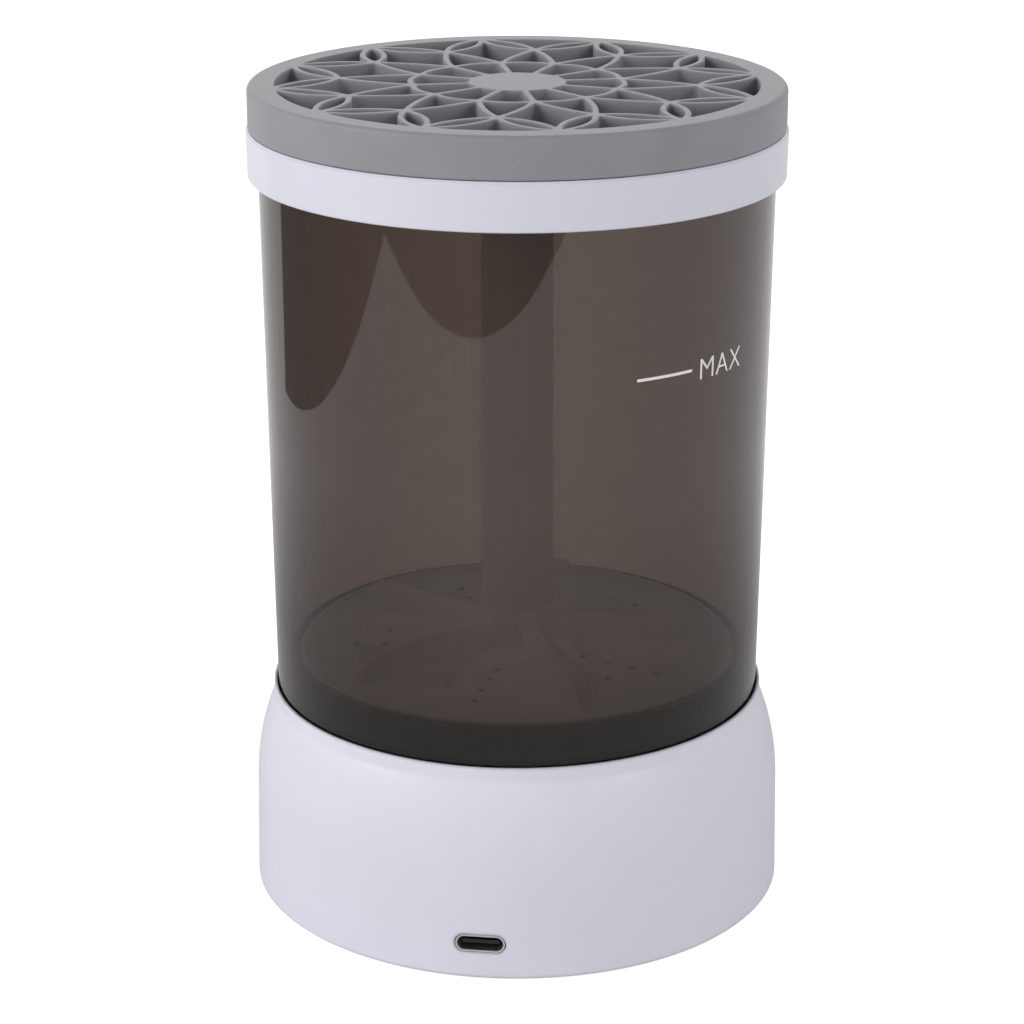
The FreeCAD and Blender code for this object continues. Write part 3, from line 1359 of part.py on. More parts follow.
def latticeCells():
    # The outlines of one sector's six cells, along the middle lines of the webs.
    step = FULL_TURN / size.latticeCount.value
    core0 = knot(size.latticeCore.value, 0)
    core1 = knot(size.latticeCore.value, step)
    inner0 = knot(knotCircle.value, 0)
    inner1 = knot(knotCircle.value, step)
    star = knot(starCircle.value, step / 2)
    starBefore = knot(starCircle.value, -step / 2)
    rim0 = knot(rimCircle.value, 0)
    rim1 = knot(rimCircle.value, step)
    scallop = size.scallopRise.value
    petal = size.petalRise.value
    leaf = size.leafRise.value
    petalCell = [
        Part.LineSegment(core0, inner0).toShape(),
        skeletonArc(inner0, inner1, -scallop),
        Part.LineSegment(inner1, core1).toShape(),
        roundArc(size.latticeCore.value, step, 0),
    ]
    spearCell = [
        skeletonArc(inner0, star, -petal),
        skeletonArc(star, inner1, -petal),
        skeletonArc(inner1, inner0, scallop),
    ]
    kiteCell = [
        skeletonArc(inner0, starBefore, petal),
        skeletonArc(starBefore, rim0, leaf),
        skeletonArc(rim0, star, leaf),
        skeletonArc(star, inner0, petal),
    ]
    leafCells = [
        [skeletonArc(star, rim0, -leaf), skeletonArc(rim0, star, -leaf)],
        [skeletonArc(star, rim1, -leaf), skeletonArc(rim1, star, -leaf)],
    ]
    fanCell = [
        skeletonArc(star, rim0, leaf),
        roundArc(rimCircle.value, 0, step),
        skeletonArc(rim1, star, leaf),
    ]
    return [petalCell, spearCell, kiteCell, *leafCells, fanCell]


def cellPrism(edges, low, height):
    # The hole that a cell makes: half a web smaller all round.
    outline = Part.Wire(edges)
    face = Part.Face(outline.makeOffset2D(-size.webWidth.value / 2, 2))
    face.translate(FreeCAD.Vector(0, 0, low))
    return face.extrude(FreeCAD.Vector(0, 0, height))


def makeBrushHolder():
    # The soft holder: a thick rim with a groove over the lid's rib, and the pierced lattice.
    blank = newBody("brush_holder_blank")
    rib = size.ribHalf + size.holderGroove
    bend = size.holderRound
    revolve(blank, "Disc", [
        (0, holderUnder),
        (ribCircle - rib, holderUnder),
        (ribCircle - rib, lidTop + size.ribRise + size.holderGroove),
        (ribCircle + rib, lidTop + size.ribRise + size.holderGroove),
        (ribCircle + rib, holderUnder),
        (holderRadius - bend / 2, holderUnder),
        (holderRadius, holderUnder + bend / 2),
        (holderRadius, holderTop - bend),
        (holderRadius - bend, holderTop),
        (0, holderTop),
    ])
    low = holderUnder.value - size.cellOverrun.value
    height = size.holderHeight.value + 2 * size.cellOverrun.value
    sector = [cellPrism(edges, low, height) for edges in latticeCells()]
    prisms = []
    for repeat in range(int(size.latticeCount.value)):
        for prism in sector:
            copy = prism.copy()
            copy.rotate(FreeCAD.Vector(0, 0, 0), FreeCAD.Vector(0, 0, 1),
                        repeat * FULL_TURN / size.latticeCount.value)
            prisms.append(copy)
    cells = document.addObject("Part::Feature", "LatticeCells")
    cells.Shape = Part.makeCompound(prisms)
    holder = document.addObject("Part::Cut", "brush_holder")
    holder.Label = "brush_holder"
    holder.Base = blank
    holder.Tool = cells
    setPlacement(holder, azimuth=size.latticeAzimuth)
    return holder


# ---- assembly -------------------------------------------------------------------------------

def makeAll():
    bore = size.shaftRadius + size.runningGap
    plateBushTop = plateTop + size.bushRise
    shankInner = size.pilotRadius
    return [
        makeBaseHousing(),
        makeBottomCover(),
        makeScrews("cover_screws", coverScrews, coverBottom + size.runningGap,
                   coverBottom + size.headHeight, size.headRadius, shankInner,
                   coverTop + size.shankReach),
        makeFeet(),
        makeMotorPlate(),
        makeScrews("plate_screws", plateScrews, plateUnder - size.smallHeadHeight, plateUnder,
                   size.smallHeadRadius, size.smallScrewRadius, plateTop + size.plateScrewReach),
        makeMotorCan(),
        makeScrews("motor_screws", motorScrews, plateTop, plateTop + size.smallHeadHeight,
                   size.smallHeadRadius, size.smallScrewRadius, plateUnder - size.motorNose),
        makeTube("output_bush_lower", plateBossUnder, plateBushTop, bushOutside, bore),
        makeTube("output_bush_upper", deckBossUnder, deckTop, bushOutside, bore),
        makeTube("deck_seal", deckTop, deckTop + size.sealHeight, size.sealRadius, bore),
        makeCell(),
        makeMainBoard(),
        makeScrews("board_screws", boardScrews, boardTop, boardTop + size.smallHeadHeight,
                   size.smallHeadRadius, size.smallScrewRadius,
                   coverBottom + size.coverThickness / 2 + size.shankGap),
        makeSocketShell(),
        makeSocketInsulator(),
        makeSwitchBoard(),
        makeTactSwitch(),
        makeLens(),
        makeButton(),
        makeMotorShaft(),
        makeMotorPinion(),
        makeRod("output_shaft", plateBossUnder + size.runningGap,
                drivenSocketTop - size.dogEndGap - size.dogCap, size.shaftRadius),
        makeOutputGear(),
        makeDriveDog(),
        makeTank(),
        makeTankFoot(),
        makeTube("shaft_bush_lower", floorUnder, floorUnder + size.bushLength, size.pipeBore,
                 bore, size.bushFlangeRadius, floorUnder - size.bushFlange, floorUnder),
        makeTube("shaft_bush_upper", pipeTop - size.bushLength, pipeTop, size.pipeBore,
                 bore, size.bushFlangeRadius, pipeTop, pipeTop + size.bushFlange),
        makeDrivenDog(),
        makeTankShaft(),
        makeClip(),
        makeSleeve(),
        makeWashPlate(),
        makeLidRing(),
        makeGasket(),
        makeBrushHolder(),
    ]


def checkAndWrite(pieces):
    document.recompute()
    for item in document.Objects:
        faults = {"Invalid", "Error"} & set(item.State)
        if faults:
            raise RuntimeError(f"{item.Label} is {sorted(faults)}")
    os.makedirs("parts", exist_ok=True)
    for piece in pieces:
        shape = piece.Shape
        if shape.isNull() or not shape.isValid():
            raise RuntimeError(f"{piece.Label} has no valid shape")
        shape.exportStep(f"parts/{piece.Label}.step")
        print(f"{piece.Label}: {len(shape.Solids)} solid(s), {shape.Volume:.1f} mm3")


checkAndWrite(makeAll())
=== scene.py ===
import math

import bmesh
import bpy
import numpy as np
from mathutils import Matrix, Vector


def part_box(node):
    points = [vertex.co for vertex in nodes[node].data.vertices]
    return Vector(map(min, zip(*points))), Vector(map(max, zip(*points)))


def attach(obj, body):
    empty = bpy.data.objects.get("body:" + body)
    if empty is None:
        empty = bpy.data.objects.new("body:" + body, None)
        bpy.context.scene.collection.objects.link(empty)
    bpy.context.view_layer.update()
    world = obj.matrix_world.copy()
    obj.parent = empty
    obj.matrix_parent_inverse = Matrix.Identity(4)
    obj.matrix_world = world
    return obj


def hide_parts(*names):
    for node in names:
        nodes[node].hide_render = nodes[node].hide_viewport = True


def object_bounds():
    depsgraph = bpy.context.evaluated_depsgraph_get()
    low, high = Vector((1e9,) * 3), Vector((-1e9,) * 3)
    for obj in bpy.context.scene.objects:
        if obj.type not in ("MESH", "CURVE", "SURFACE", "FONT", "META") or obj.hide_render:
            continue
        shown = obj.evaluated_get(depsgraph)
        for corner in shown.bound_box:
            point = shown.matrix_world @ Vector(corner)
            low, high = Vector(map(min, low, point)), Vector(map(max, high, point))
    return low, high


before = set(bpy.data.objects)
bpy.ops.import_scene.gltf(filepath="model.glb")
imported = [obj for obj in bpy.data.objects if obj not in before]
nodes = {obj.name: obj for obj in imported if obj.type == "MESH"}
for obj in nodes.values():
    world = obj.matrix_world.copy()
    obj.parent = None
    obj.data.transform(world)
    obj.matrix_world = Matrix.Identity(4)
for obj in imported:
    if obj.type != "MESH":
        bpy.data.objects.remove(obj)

# Brush washer: finishes for its moulded, metal and soft pieces, the brush holder and the wash
# plate as meshes, the fill mark on the tank, and the studio. Metres, +Z up, the charging port
# towards -Y.

mm = 0.001
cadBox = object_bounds()
print("frame loaded:", len(nodes), "nodes")


cameraValues = {
    "distance": 515.0 * mm,    # from the washer's axis, level
    "height": 249.59 * mm,
    "azimuth": 7.58,           # degrees, from the port's side towards +X
    "pitch": 19.04,            # degrees below level
    "aside": 0.105,            # degrees, the axis stands a little right of the middle
    "lens": 102.53,            # millimetres on a 36 mm sensor
}


def makeCamera(v):
    # Stands on a circle round the axis and looks at it, pitched down and turned a little left.
    azimuth = math.radians(v["azimuth"])
    data = bpy.data.cameras.new("studioCamera")
    data.lens = v["lens"]
    camera = bpy.data.objects.new("studioCamera", data)
    camera.location = (v["distance"] * math.sin(azimuth), -v["distance"] * math.cos(azimuth),
                       v["height"])
    camera.rotation_euler = (math.radians(90 - v["pitch"]), 0,
                             azimuth + math.radians(v["aside"]))
    bpy.context.scene.collection.objects.link(camera)
    bpy.context.scene.camera = camera


makeCamera(cameraValues)
print("camera placed")


def pointsOf(mesh):
    # A mesh's points as rows of x, y and z.
    co = np.empty(len(mesh.vertices) * 3, np.float32)
    mesh.vertices.foreach_get("co", co)
    return co.reshape(-1, 3).astype(float)


def meshFrom(name, points, faces):
    # One object from rows of points and of face corners; points that coincide become one.
    mesh = bpy.data.meshes.new(name)
    points = np.round(np.asarray(points, float), 9)
    unique, where = np.unique(np.round(points, 7), axis=0, return_inverse=True)
    faces = [list(dict.fromkeys(where.reshape(-1)[list(face)])) for face in faces]
    mesh.from_pydata(unique, [], [face for face in faces if len(face) > 2])
    mesh.update()
    mesh.polygons.foreach_set("use_smooth", np.ones(len(mesh.polygons), bool))
    thing = bpy.data.objects.new(name, mesh)
    bpy.context.scene.collection.objects.link(thing)
    return thing


def gridFaces(rows, columns, first=0, closed=False):
    # Quads of a grid whose point i, j is number first + i * columns + j; closed joins its sides.
    i, j = np.meshgrid(np.arange(rows - 1), np.arange(columns if closed else columns - 1),
                       indexing="ij")
    after = (j + 1) % columns
    corners = (i * columns + j, i * columns + after, (i + 1) * columns + after,
               (i + 1) * columns + j)
    return np.stack(corners, axis=-1).reshape(-1, 4) + first


# The soft brush holder: a lattice of bowed webs between a solid middle and a thick rim.

holderValues = {
    "repeats": 12,
    "azimuth": 16.65,          # degrees, the first inner knot
    "core": 8.2 * mm,          # radius of the solid middle
    "innerKnots": 18.45 * mm,
    "starKnots": 32.2 * mm,
    "rimKnots": 43.7 * mm,
    "web": 1.12 * mm,          # webs, across
    "scallop": 1.3 * mm,       # bulge of the inner scallops
    "petal": 0.7 * mm,
    "leaf": 2.0 * mm,
    "crest": 0.25 * mm,        # rounding of the webs' upper edges
    "softness": 0.2 * mm,      # how far the webs flow into each other at the knots
    "outerRound": 0.9 * mm,
    "footRound": 0.4 * mm,
    "flat": 0.15 * mm,         # keeps the flats flat beside the rounds
    "groove": (45.09 * mm, 46.49 * mm, 1.6 * mm),   # inner and outer radius, depth
    "spokeSteps": 10,          # points along a spoke, a bowed web, and a cell's share of the
    "webSteps": 16,            # middle's edge and of the rim
    "coreSteps": 8,
    "rimSteps": 20,
    "halvings": 24,            # of the search for a hole's edge
    "crestShares": (0, 0.25, 0.5, 0.68, 0.82, 0.92, 0.98, 1.0),   # web's middle to hole's edge
    "wallShares": (0.08, 0.5, 0.92, 1),                           # down the hole's wall
}


def spot(radius, degrees):
    # A point of the plan as a complex number, radius times e to the i azimuth.
    return radius * np.exp(1j * np.radians(degrees))


def bowed(start, end, rise, count):
    # Points start + (end - start) t, moved along the left normal by 4 rise t (1 - t).
    t = np.arange(count) / count
    way = end - start
    return start + way * t + 1j * way / abs(way) * 4 * rise * t * (1 - t)


def rounded(radius, first, last, count):
    # Points of a circle round the axis, from one azimuth towards the other.
    return spot(radius, first + (last - first) * np.arange(count) / count)


def cellOutlines(v):
    # One sector's six cells, each as the middle lines of the webs round it.
    step = 360 / v["repeats"]
    core0, core1 = spot(v["core"], 0), spot(v["core"], step)
    inner0, inner1 = spot(v["innerKnots"], 0), spot(v["innerKnots"], step)
    star, starBefore = spot(v["starKnots"], step / 2), spot(v["starKnots"], -step / 2)
    rim0, rim1 = spot(v["rimKnots"], 0), spot(v["rimKnots"], step)
    scallop, petal, leaf = v["scallop"], v["petal"], v["leaf"]
    spoke, web = v["spokeSteps"], v["webSteps"]
    return [
        [bowed(core0, inner0, 0, spoke), bowed(inner0, inner1, -scallop, web),
         bowed(inner1, core1, 0, spoke), rounded(v["core"], step, 0, v["coreSteps"])],
        [bowed(inner0, star, -petal, web), bowed(star, inner1, -petal, web),
         bowed(inner1, inner0, scallop, web)],
        [bowed(inner0, starBefore, petal, web), bowed(starBefore, rim0, leaf, web),
         bowed(rim0, star, leaf, web), bowed(star, inner0, petal, web)],
        [bowed(star, rim0, -leaf, web), bowed(rim0, star, -leaf, web)],
        [bowed(star, rim1, -leaf, web), bowed(rim1, star, -leaf, web)],
        [bowed(star, rim0, leaf, web), rounded(v["rimKnots"], 0, step, v["rimSteps"]),
         bowed(rim1, star, leaf, web)],
    ]


def depthInCell(points, edges, softness):
    # The soft minimum, -k log(sum exp(-d / k)), of the distances d to the webs' middle lines.
    total = 0
    for k, edge in enumerate(edges):
        line = np.append(edge, edges[(k + 1) % len(edges)][0])
        a, b = line[:-1], line[1:]
        way = b - a
        t = ((points[..., None] - a) * way.conj()).real / abs(way) ** 2
        gap = abs(points[..., None] - a - way * np.clip(t, 0, 1)).min(axis=-1)
        total = total + np.exp(-gap / softness)
    return -softness * np.log(total)


def cellShell(edges, v, low, high):
    # A cell's ring of surface: from the webs' middle line over the rounded crest, down the
    # wall and back under. Rays to the cell's middle meet the hole's edge by bisection.
    outline = np.concatenate(edges)
    middle = outline.mean()
    half = v["web"] / 2
    near, far = np.zeros(len(outline)), np.ones(len(outline))
    for _ in range(v["halvings"]):
        t = (near + far) / 2
        inside = depthInCell(outline + (middle - outline) * t, edges, v["softness"]) > half
        far = np.where(inside, t, far)
        near = np.where(inside, near, t)
    shares = np.array(v["crestShares"])[:, None]
    flat = outline + (middle - outline) * far * shares
    edgeGap = np.clip(half - depthInCell(flat, edges, v["softness"]), 0, v["crest"])
    edgeGap[-1] = 0
    drop = v["crest"] - np.sqrt(v["crest"] ** 2 - (v["crest"] - edgeGap) ** 2)
    hole = flat[-1:]
    down = np.array(v["wallShares"])[:, None]
    levels = high - v["crest"] - down * (high - v["crest"] - low)
    plan = np.concatenate([flat, np.repeat(hole, len(down), axis=0), flat[:1]])
    height = np.concatenate([high - drop, np.repeat(levels, len(outline), axis=1),
                             np.full((1, len(outline)), low)])
    return plan, height


def turnedProfile(profile, azimuths):
    # Points of a profile (radius, height) carried round the axis.
    radius, height = np.array(profile).T
    plan = radius[:, None] * np.exp(1j * np.radians(azimuths))
    return np.stack([plan.real, plan.imag, np.repeat(height[:, None], len(azimuths), 1)], -1)


def quarterRound(radius, height, size, start, count=6):
    # Points of a quarter circle of a size about (radius, height), from an angle in degrees on.
    angles = np.radians(start + 90 * np.arange(count + 1) / count)
    return [(radius + size * math.cos(a), height + size * math.sin(a)) for a in angles]


def makeBrushHolder(v):
    # The pierced soft disc: twelve sectors of cells, the middle and the thick rim.
    lower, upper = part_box("brush_holder")
    low, high, outer = lower.z, upper.z, upper.x
    points, faces, count = [], [], 0
    for edges in cellOutlines(v):
        plan, height = cellShell(edges, v, low, high)
        for sector in range(v["repeats"]):
            turned = plan * spot(1, v["azimuth"] + 360 / v["repeats"] * sector)
            points.append(np.stack([turned.real, turned.imag, height], -1).reshape(-1, 3))
            faces.append(gridFaces(*plan.shape, first=count, closed=True))
            count += plan.size
    inner, wide, deep = v["groove"]
    crown, foot, flat = v["outerRound"], v["footRound"], v["flat"]
    rim = [(v["rimKnots"], high), (outer - crown - flat, high)]
    rim += quarterRound(outer - crown, high - crown, crown, 0)[::-1]
    rim += [(outer, high - crown - flat), (outer, low + foot + flat)]
    rim += [(outer - foot + foot * math.cos(a), low + foot - foot * math.sin(a))
            for a in np.radians([0, 30, 60, 90])]
    rim += [(wide, low), (wide, low + deep), (inner, low + deep), (inner, low),
            (v["rimKnots"], low)]
    core = [(0, high), (v["core"] / 2, high), (v["core"], high)]
    base = [(v["core"], low), (v["core"] / 2, low), (0, low)]
    for profile, each in ((rim, v["rimSteps"]), (core, v["coreSteps"]),
                          (base, v["coreSteps"])):
        azimuths = v["azimuth"] + np.arange(v["repeats"] * each) * 360 / v["repeats"] / each
        grid = turnedProfile(profile, azimuths)
        points.append(grid.reshape(-1, 3))
        faces.append(gridFaces(*grid.shape[:2], first=count, closed=True)[:, ::-1])
        count += grid.shape[0] * grid.shape[1]
    return meshFrom("softHolder", np.concatenate(points), np.concatenate(faces))


softHolder = makeBrushHolder(holderValues)
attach(softHolder, "holder")
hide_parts("brush_holder")
print("brush holder:", len(softHolder.data.polygons), "faces")


# The wash plate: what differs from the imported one.

washPlateValues = {
    "below": 0.15 * mm,        # the plate's face under the top of the foot's ring
    "bevel": 0.5 * mm,         # on the plate's edge
    "vanesFrom": 15 * mm,      # radius from which only vanes stand above the plate
    "edgeBand": 1 * mm,        # beside the edge, where the face's height is read
    "weld": 0.001 * mm,        # points this close become one
    "sharp": 35,               # degrees between two faces with a hard edge
    "lipWide": 0.9 * mm,       # low lip round the plate's edge
    "lipHigh": 0.95 * mm,
    "lipSink": 0.3 * mm,       # how far the lip stands in the plate
    "lipSteps": 180,           # round the axis
}


def highest(co, inner):
    # The greatest height among points that lie further out than a radius.
    return co[np.hypot(co[:, 0], co[:, 1]) > inner, 2].max()


def makeWashPlate(v):
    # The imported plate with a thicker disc: heights between its face and the vanes' tops are
    # carried in proportion between the raised face and the same tops.
    mesh = nodes["wash_plate"].data.copy()
    mesh.name = "washPlate"
    mesh.materials.clear()
    work = bmesh.new()
    work.from_mesh(mesh)
    bmesh.ops.remove_doubles(work, verts=work.verts, dist=v["weld"])
    work.to_mesh(mesh)
    work.free()
    co, footCo = pointsOf(mesh), pointsOf(nodes["tank_foot"].data)
    edge = np.hypot(co[:, 0], co[:, 1]).max()
    face, vaneTop = highest(co, edge - v["edgeBand"]), highest(co, v["vanesFrom"])
    raised = highest(footCo, edge) - v["below"]
    low, top = co[:, 2].min(), co[:, 2].max()
    co[:, 2] = np.interp(co[:, 2], (low, face - v["bevel"], face, vaneTop, top),
                         (low, raised - v["bevel"], raised, vaneTop, top))
    mesh.vertices.foreach_set("co", co.reshape(-1).astype(np.float32))
    mesh.polygons.foreach_set("use_smooth", np.ones(len(mesh.polygons), bool))
    mesh.set_sharp_from_angle(angle=math.radians(v["sharp"]))
    mesh.update()
    plate = bpy.data.objects.new("washPlate", mesh)
    bpy.context.scene.collection.objects.link(plate)
    return plate


def makeWashLip(v, plate):
    # A ring on the plate's edge: an upright strip whose top is half a circle, carried round.
    co = pointsOf(plate.data)
    outer = np.hypot(co[:, 0], co[:, 1]).max()
    half = v["lipWide"] / 2
    face = highest(co, outer - v["edgeBand"])
    low, high = face - v["lipSink"], face + v["lipHigh"] - half
    profile = [(outer, low), (outer, high)] + quarterRound(outer - half, high, half, 0)[1:]
    profile += quarterRound(outer - half, high, half, 90)[1:] + [(outer - 2 * half, low)]
    profile.append(profile[0])
    azimuths = np.arange(v["lipSteps"]) * 360 / v["lipSteps"]
    grid = turnedProfile(profile, azimuths)
    return meshFrom("washLip", grid.reshape(-1, 3), gridFaces(*grid.shape[:2], closed=True))


washPlate = makeWashPlate(washPlateValues)
washLip = makeWashLip(washPlateValues, washPlate)
for piece in (washPlate, washLip):
    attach(piece, "spinner")
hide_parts("wash_plate")
print("wash plate:", len(washPlate.data.polygons), "faces")


# The fill mark: where its letters and line stand on the tank.

markValues = {
    "text": "MAX",
    "capHeight": 3.65 * mm,
    "letterAzimuth": -39.44,   # degrees from +X, the left edge of the first letter
    "baseline": 107.6 * mm,
    "thin": -0.012,            # strokes drawn in, as a share of the letters' size
    "spacing": 1.06,
    "lineFirst": -56.3,        # degrees, left end
    "lineLast": -41.95,
    "lineHeight": 109.6 * mm,
    "lineThick": 0.5 * mm,
    "ink": 0.05 * mm,          # height of the print above the wall
    "sink": 0.03 * mm,         # depth of the print's back in the wall
    "strips": 40,              # narrow strips that the letters are cut into, less one
    "weld": 1e-5,              # share of the letters' size
    "lineSteps": 33,
    "footBand": 1 * mm,        # beside the tank's foot and rim, where its radii are read
    "rimBand": 5 * mm,
}


def tankRadius(height):
    # The wall's outside, straight between the radii at the tank's foot and rim.
    co = pointsOf(nodes["tank"].data)
    radius = np.hypot(co[:, 0], co[:, 1])
    foot, rim = co[:, 2].min(), co[:, 2].max()
    footRadius = radius[co[:, 2] < foot + markValues["footBand"]].max()
    rimRadius = radius[co[:, 2] > rim - markValues["rimBand"]].max()
    return footRadius + (rimRadius - footRadius) * (height - foot) / (rim - foot)


def wrapped(flat, height, lift):
    # Bends x along the tank's girth: azimuth = x / radius, with the point lifted off the wall.
    radius = tankRadius(height)
    angle = flat / radius
    return np.stack([(radius + lift) * np.cos(angle), (radius + lift) * np.sin(angle),
                     height], -1)


def makeLetters(v):
    # Letters drawn flat as a mesh, cut into narrow strips, then wrapped round the tank.
    curve = bpy.data.curves.new("letters", "FONT")
    curve.body = v["text"]
    curve.space_character = v["spacing"]
    curve.offset = v["thin"]
    curve.extrude = 0.5        # flat front and back, told apart by the sign of z below
    source = bpy.data.objects.new("letters", curve)
    bpy.context.scene.collection.objects.link(source)
    mesh = bpy.data.meshes.new_from_object(source)
    bpy.data.objects.remove(source)
    across = pointsOf(mesh)[:, 0]
    work = bmesh.new()
    work.from_mesh(mesh)
    bmesh.ops.remove_doubles(work, verts=work.verts, dist=v["weld"])
    for cut in np.linspace(across.min(), across.max(), v["strips"])[1:-1]:
        bmesh.ops.bisect_plane(work, geom=work.verts[:] + work.edges[:] + work.faces[:],
                               plane_co=(cut, 0, 0), plane_no=(1, 0, 0))
    work.to_mesh(mesh)
    work.free()
    co = pointsOf(mesh)
    scale = v["capHeight"] / (co[:, 1].max() - co[:, 1].min())
    start = math.radians(v["letterAzimuth"]) * tankRadius(v["baseline"])
    lift = np.where(co[:, 2] > 0, v["ink"], -v["sink"])
    placed = wrapped(start + (co[:, 0] - co[:, 0].min()) * scale,
                     v["baseline"] + (co[:, 1] - co[:, 1].min()) * scale, lift)
    mesh.vertices.foreach_set("co", placed.reshape(-1).astype(np.float32))
    mesh.update()
    letters = bpy.data.objects.new("fillLetters", mesh)
    bpy.context.scene.collection.objects.link(letters)
    return letters


def makeFillLine(v):
    # A bar round the tank: a flat ring section in the wall's plane, closed at both ends.
    radius = tankRadius(v["lineHeight"])
    flat = np.radians(np.linspace(v["lineFirst"], v["lineLast"], v["lineSteps"])) * radius
    low, high = v["lineHeight"] - v["lineThick"] / 2, v["lineHeight"] + v["lineThick"] / 2
    corners = ((low, -v["sink"]), (low, v["ink"]), (high, v["ink"]), (high, -v["sink"]))
    rows = [wrapped(flat, np.full(len(flat), height), lift) for height, lift in corners]
    grid = np.stack(rows, axis=1)
    faces = [list(face)[::-1] for face in gridFaces(*grid.shape[:2], closed=True)]
    last = (len(flat) - 1) * len(corners)
    faces += [[0, 1, 2, 3][::-1], [last, last + 1, last + 2, last + 3]]
    bar = meshFrom("fillLine", grid.reshape(-1, 3), faces)
    bar.data.polygons.foreach_set("use_smooth", np.zeros(len(bar.data.polygons), bool))
    return bar


fillLetters = makeLetters(markValues)
fillLine = makeFillLine(markValues)
for mark in (fillLetters, fillLine):
    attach(mark, "tank")
print("fill mark wrapped on the tank")


def newMaterial(name):
    # A new material with its nodes and its one shader.
    material = bpy.data.materials.new(name)
    material.use_nodes = True
    tree = material.node_tree
    return material, tree, tree.nodes["Principled BSDF"]


def addNode(tree, kind, inputs=None, **settings):
    # A node with its settings, and its inputs by name or number: a value or another's output.
    node = tree.nodes.new("ShaderNode" + kind)
    for key, value in settings.items():
        setattr(node, key, value)
    for key, value in (inputs or {}).items():
        if isinstance(value, bpy.types.NodeSocket):
            tree.links.new(value, node.inputs[key])
        else:
            node.inputs[key].default_value = value
    return node


def noise(tree, scale, detail=2.0, stretch=None):
    # Noise on the piece's own coordinates; stretch squeezes it along each axis.
    coords = addNode(tree, "TexCoord").outputs["Object"]
    if stretch is not None:
        coords = addNode(tree, "Mapping", {"Vector": coords, "Scale": stretch}).outputs[0]
    return addNode(tree, "TexNoise", {"Vector": coords, "Scale": scale,
                                      "Detail": detail}).outputs["Fac"]


def span(tree, value, low, high, fromLow=0.3, fromHigh=0.7):
    # Carries a range, a noise's usual one unless others are given, onto another.
    return addNode(tree, "MapRange", {"Value": value, "From Min": fromLow,
                                      "From Max": fromHigh, "To Min": low,
                                      "To Max": high}).outputs[0]


def mixed(tree, factor, first, second):
    # The first colour where the factor is 0, the second where it is 1.
    node = addNode(tree, "Mix", {0: factor, 6: first, 7: second}, data_type="RGBA")
    return node.outputs[2]


def colour(red, green, blue):
    # A colour with nothing see-through in it.
    return (red, green, blue, 1.0)


def grain(tree, shader, height, depth, soften=0.0):
    # A bump whose depth is a real height, over edges softened to a radius.
    bump = addNode(tree, "Bump", {"Height": height, "Distance": depth, "Strength": 1.0})
    if soften > 0:
        edges = addNode(tree, "Bevel", {"Radius": soften}, samples=6)
        tree.links.new(edges.outputs[0], bump.inputs["Normal"])
    tree.links.new(bump.outputs[0], shader.inputs["Normal"])


def moulded(name, tint, shade, rough, cloud=60, peel=900, depth=0.004, specular=0.5,
            soften=0.0, paintedUpLight=0.0):
    # Moulded plastic: two close tints in soft clouds, uneven gloss and a fine orange peel.
    # paintedUpLight is painted light: a faint glow in the tint on faces that look up, in the
    # share that their normal points up, standing in for light from above.
    material, tree, shader = newMaterial(name)
    clouds = span(tree, noise(tree, cloud, 3), 0, 1)
    tree.links.new(mixed(tree, clouds, colour(*tint), colour(*shade)),
                   shader.inputs["Base Color"])
    tree.links.new(span(tree, noise(tree, peel / 3, 3), *rough), shader.inputs["Roughness"])
    grain(tree, shader, noise(tree, peel, 2), depth * mm, soften * mm)
    shader.inputs["Specular IOR Level"].default_value = specular
    shader.inputs["Emission Color"].default_value = colour(*tint)
    if paintedUpLight > 0:
        # Painted light: an emission on faces that look up, though the piece is no lamp.
        normal = addNode(tree, "NewGeometry").outputs["Normal"]
        up = addNode(tree, "SeparateXYZ", {0: normal}).outputs["Z"]
        tree.links.new(span(tree, up, 0, paintedUpLight, 0, 1), shader.inputs["Emission Strength"])
    return material


def metal(name, tint, shade, rough, scale=1500, stretch=(1, 1, 12), depth=0.002):
    # Metal: fine marks along one direction in tint, gloss and bump.
    material, tree, shader = newMaterial(name)
    marks = noise(tree, scale, 4, stretch)
    tree.links.new(mixed(tree, span(tree, marks, 0, 1), colour(*tint), colour(*shade)),
                   shader.inputs["Base Color"])
    tree.links.new(span(tree, marks, *rough), shader.inputs["Roughness"])
    grain(tree, shader, marks, depth * mm)
    shader.inputs["Metallic"].default_value = 1.0
    return material


siliconeValues = {
    "tint": (0.252, 0.258, 0.276),
    "shade": (0.234, 0.240, 0.258),
    "dustLight": (0.50, 0.50, 0.52),
    "dustDark": (0.12, 0.12, 0.13),
    "dustSize": 0.09,          # share of a cell's width
    "dustCells": 900,          # cells to the metre
    "dustRare": 0.955,
    "rough": (0.48, 0.62),
    "cloud": 90,               # clouds, uneven gloss and skin, in patches to the metre
    "gloss": 700,
    "skin": 2600,
    "skinDepth": 0.006 * mm,
    "specular": 0.35,
    "sheen": 0.3,
    "sheenRough": 0.5,
}


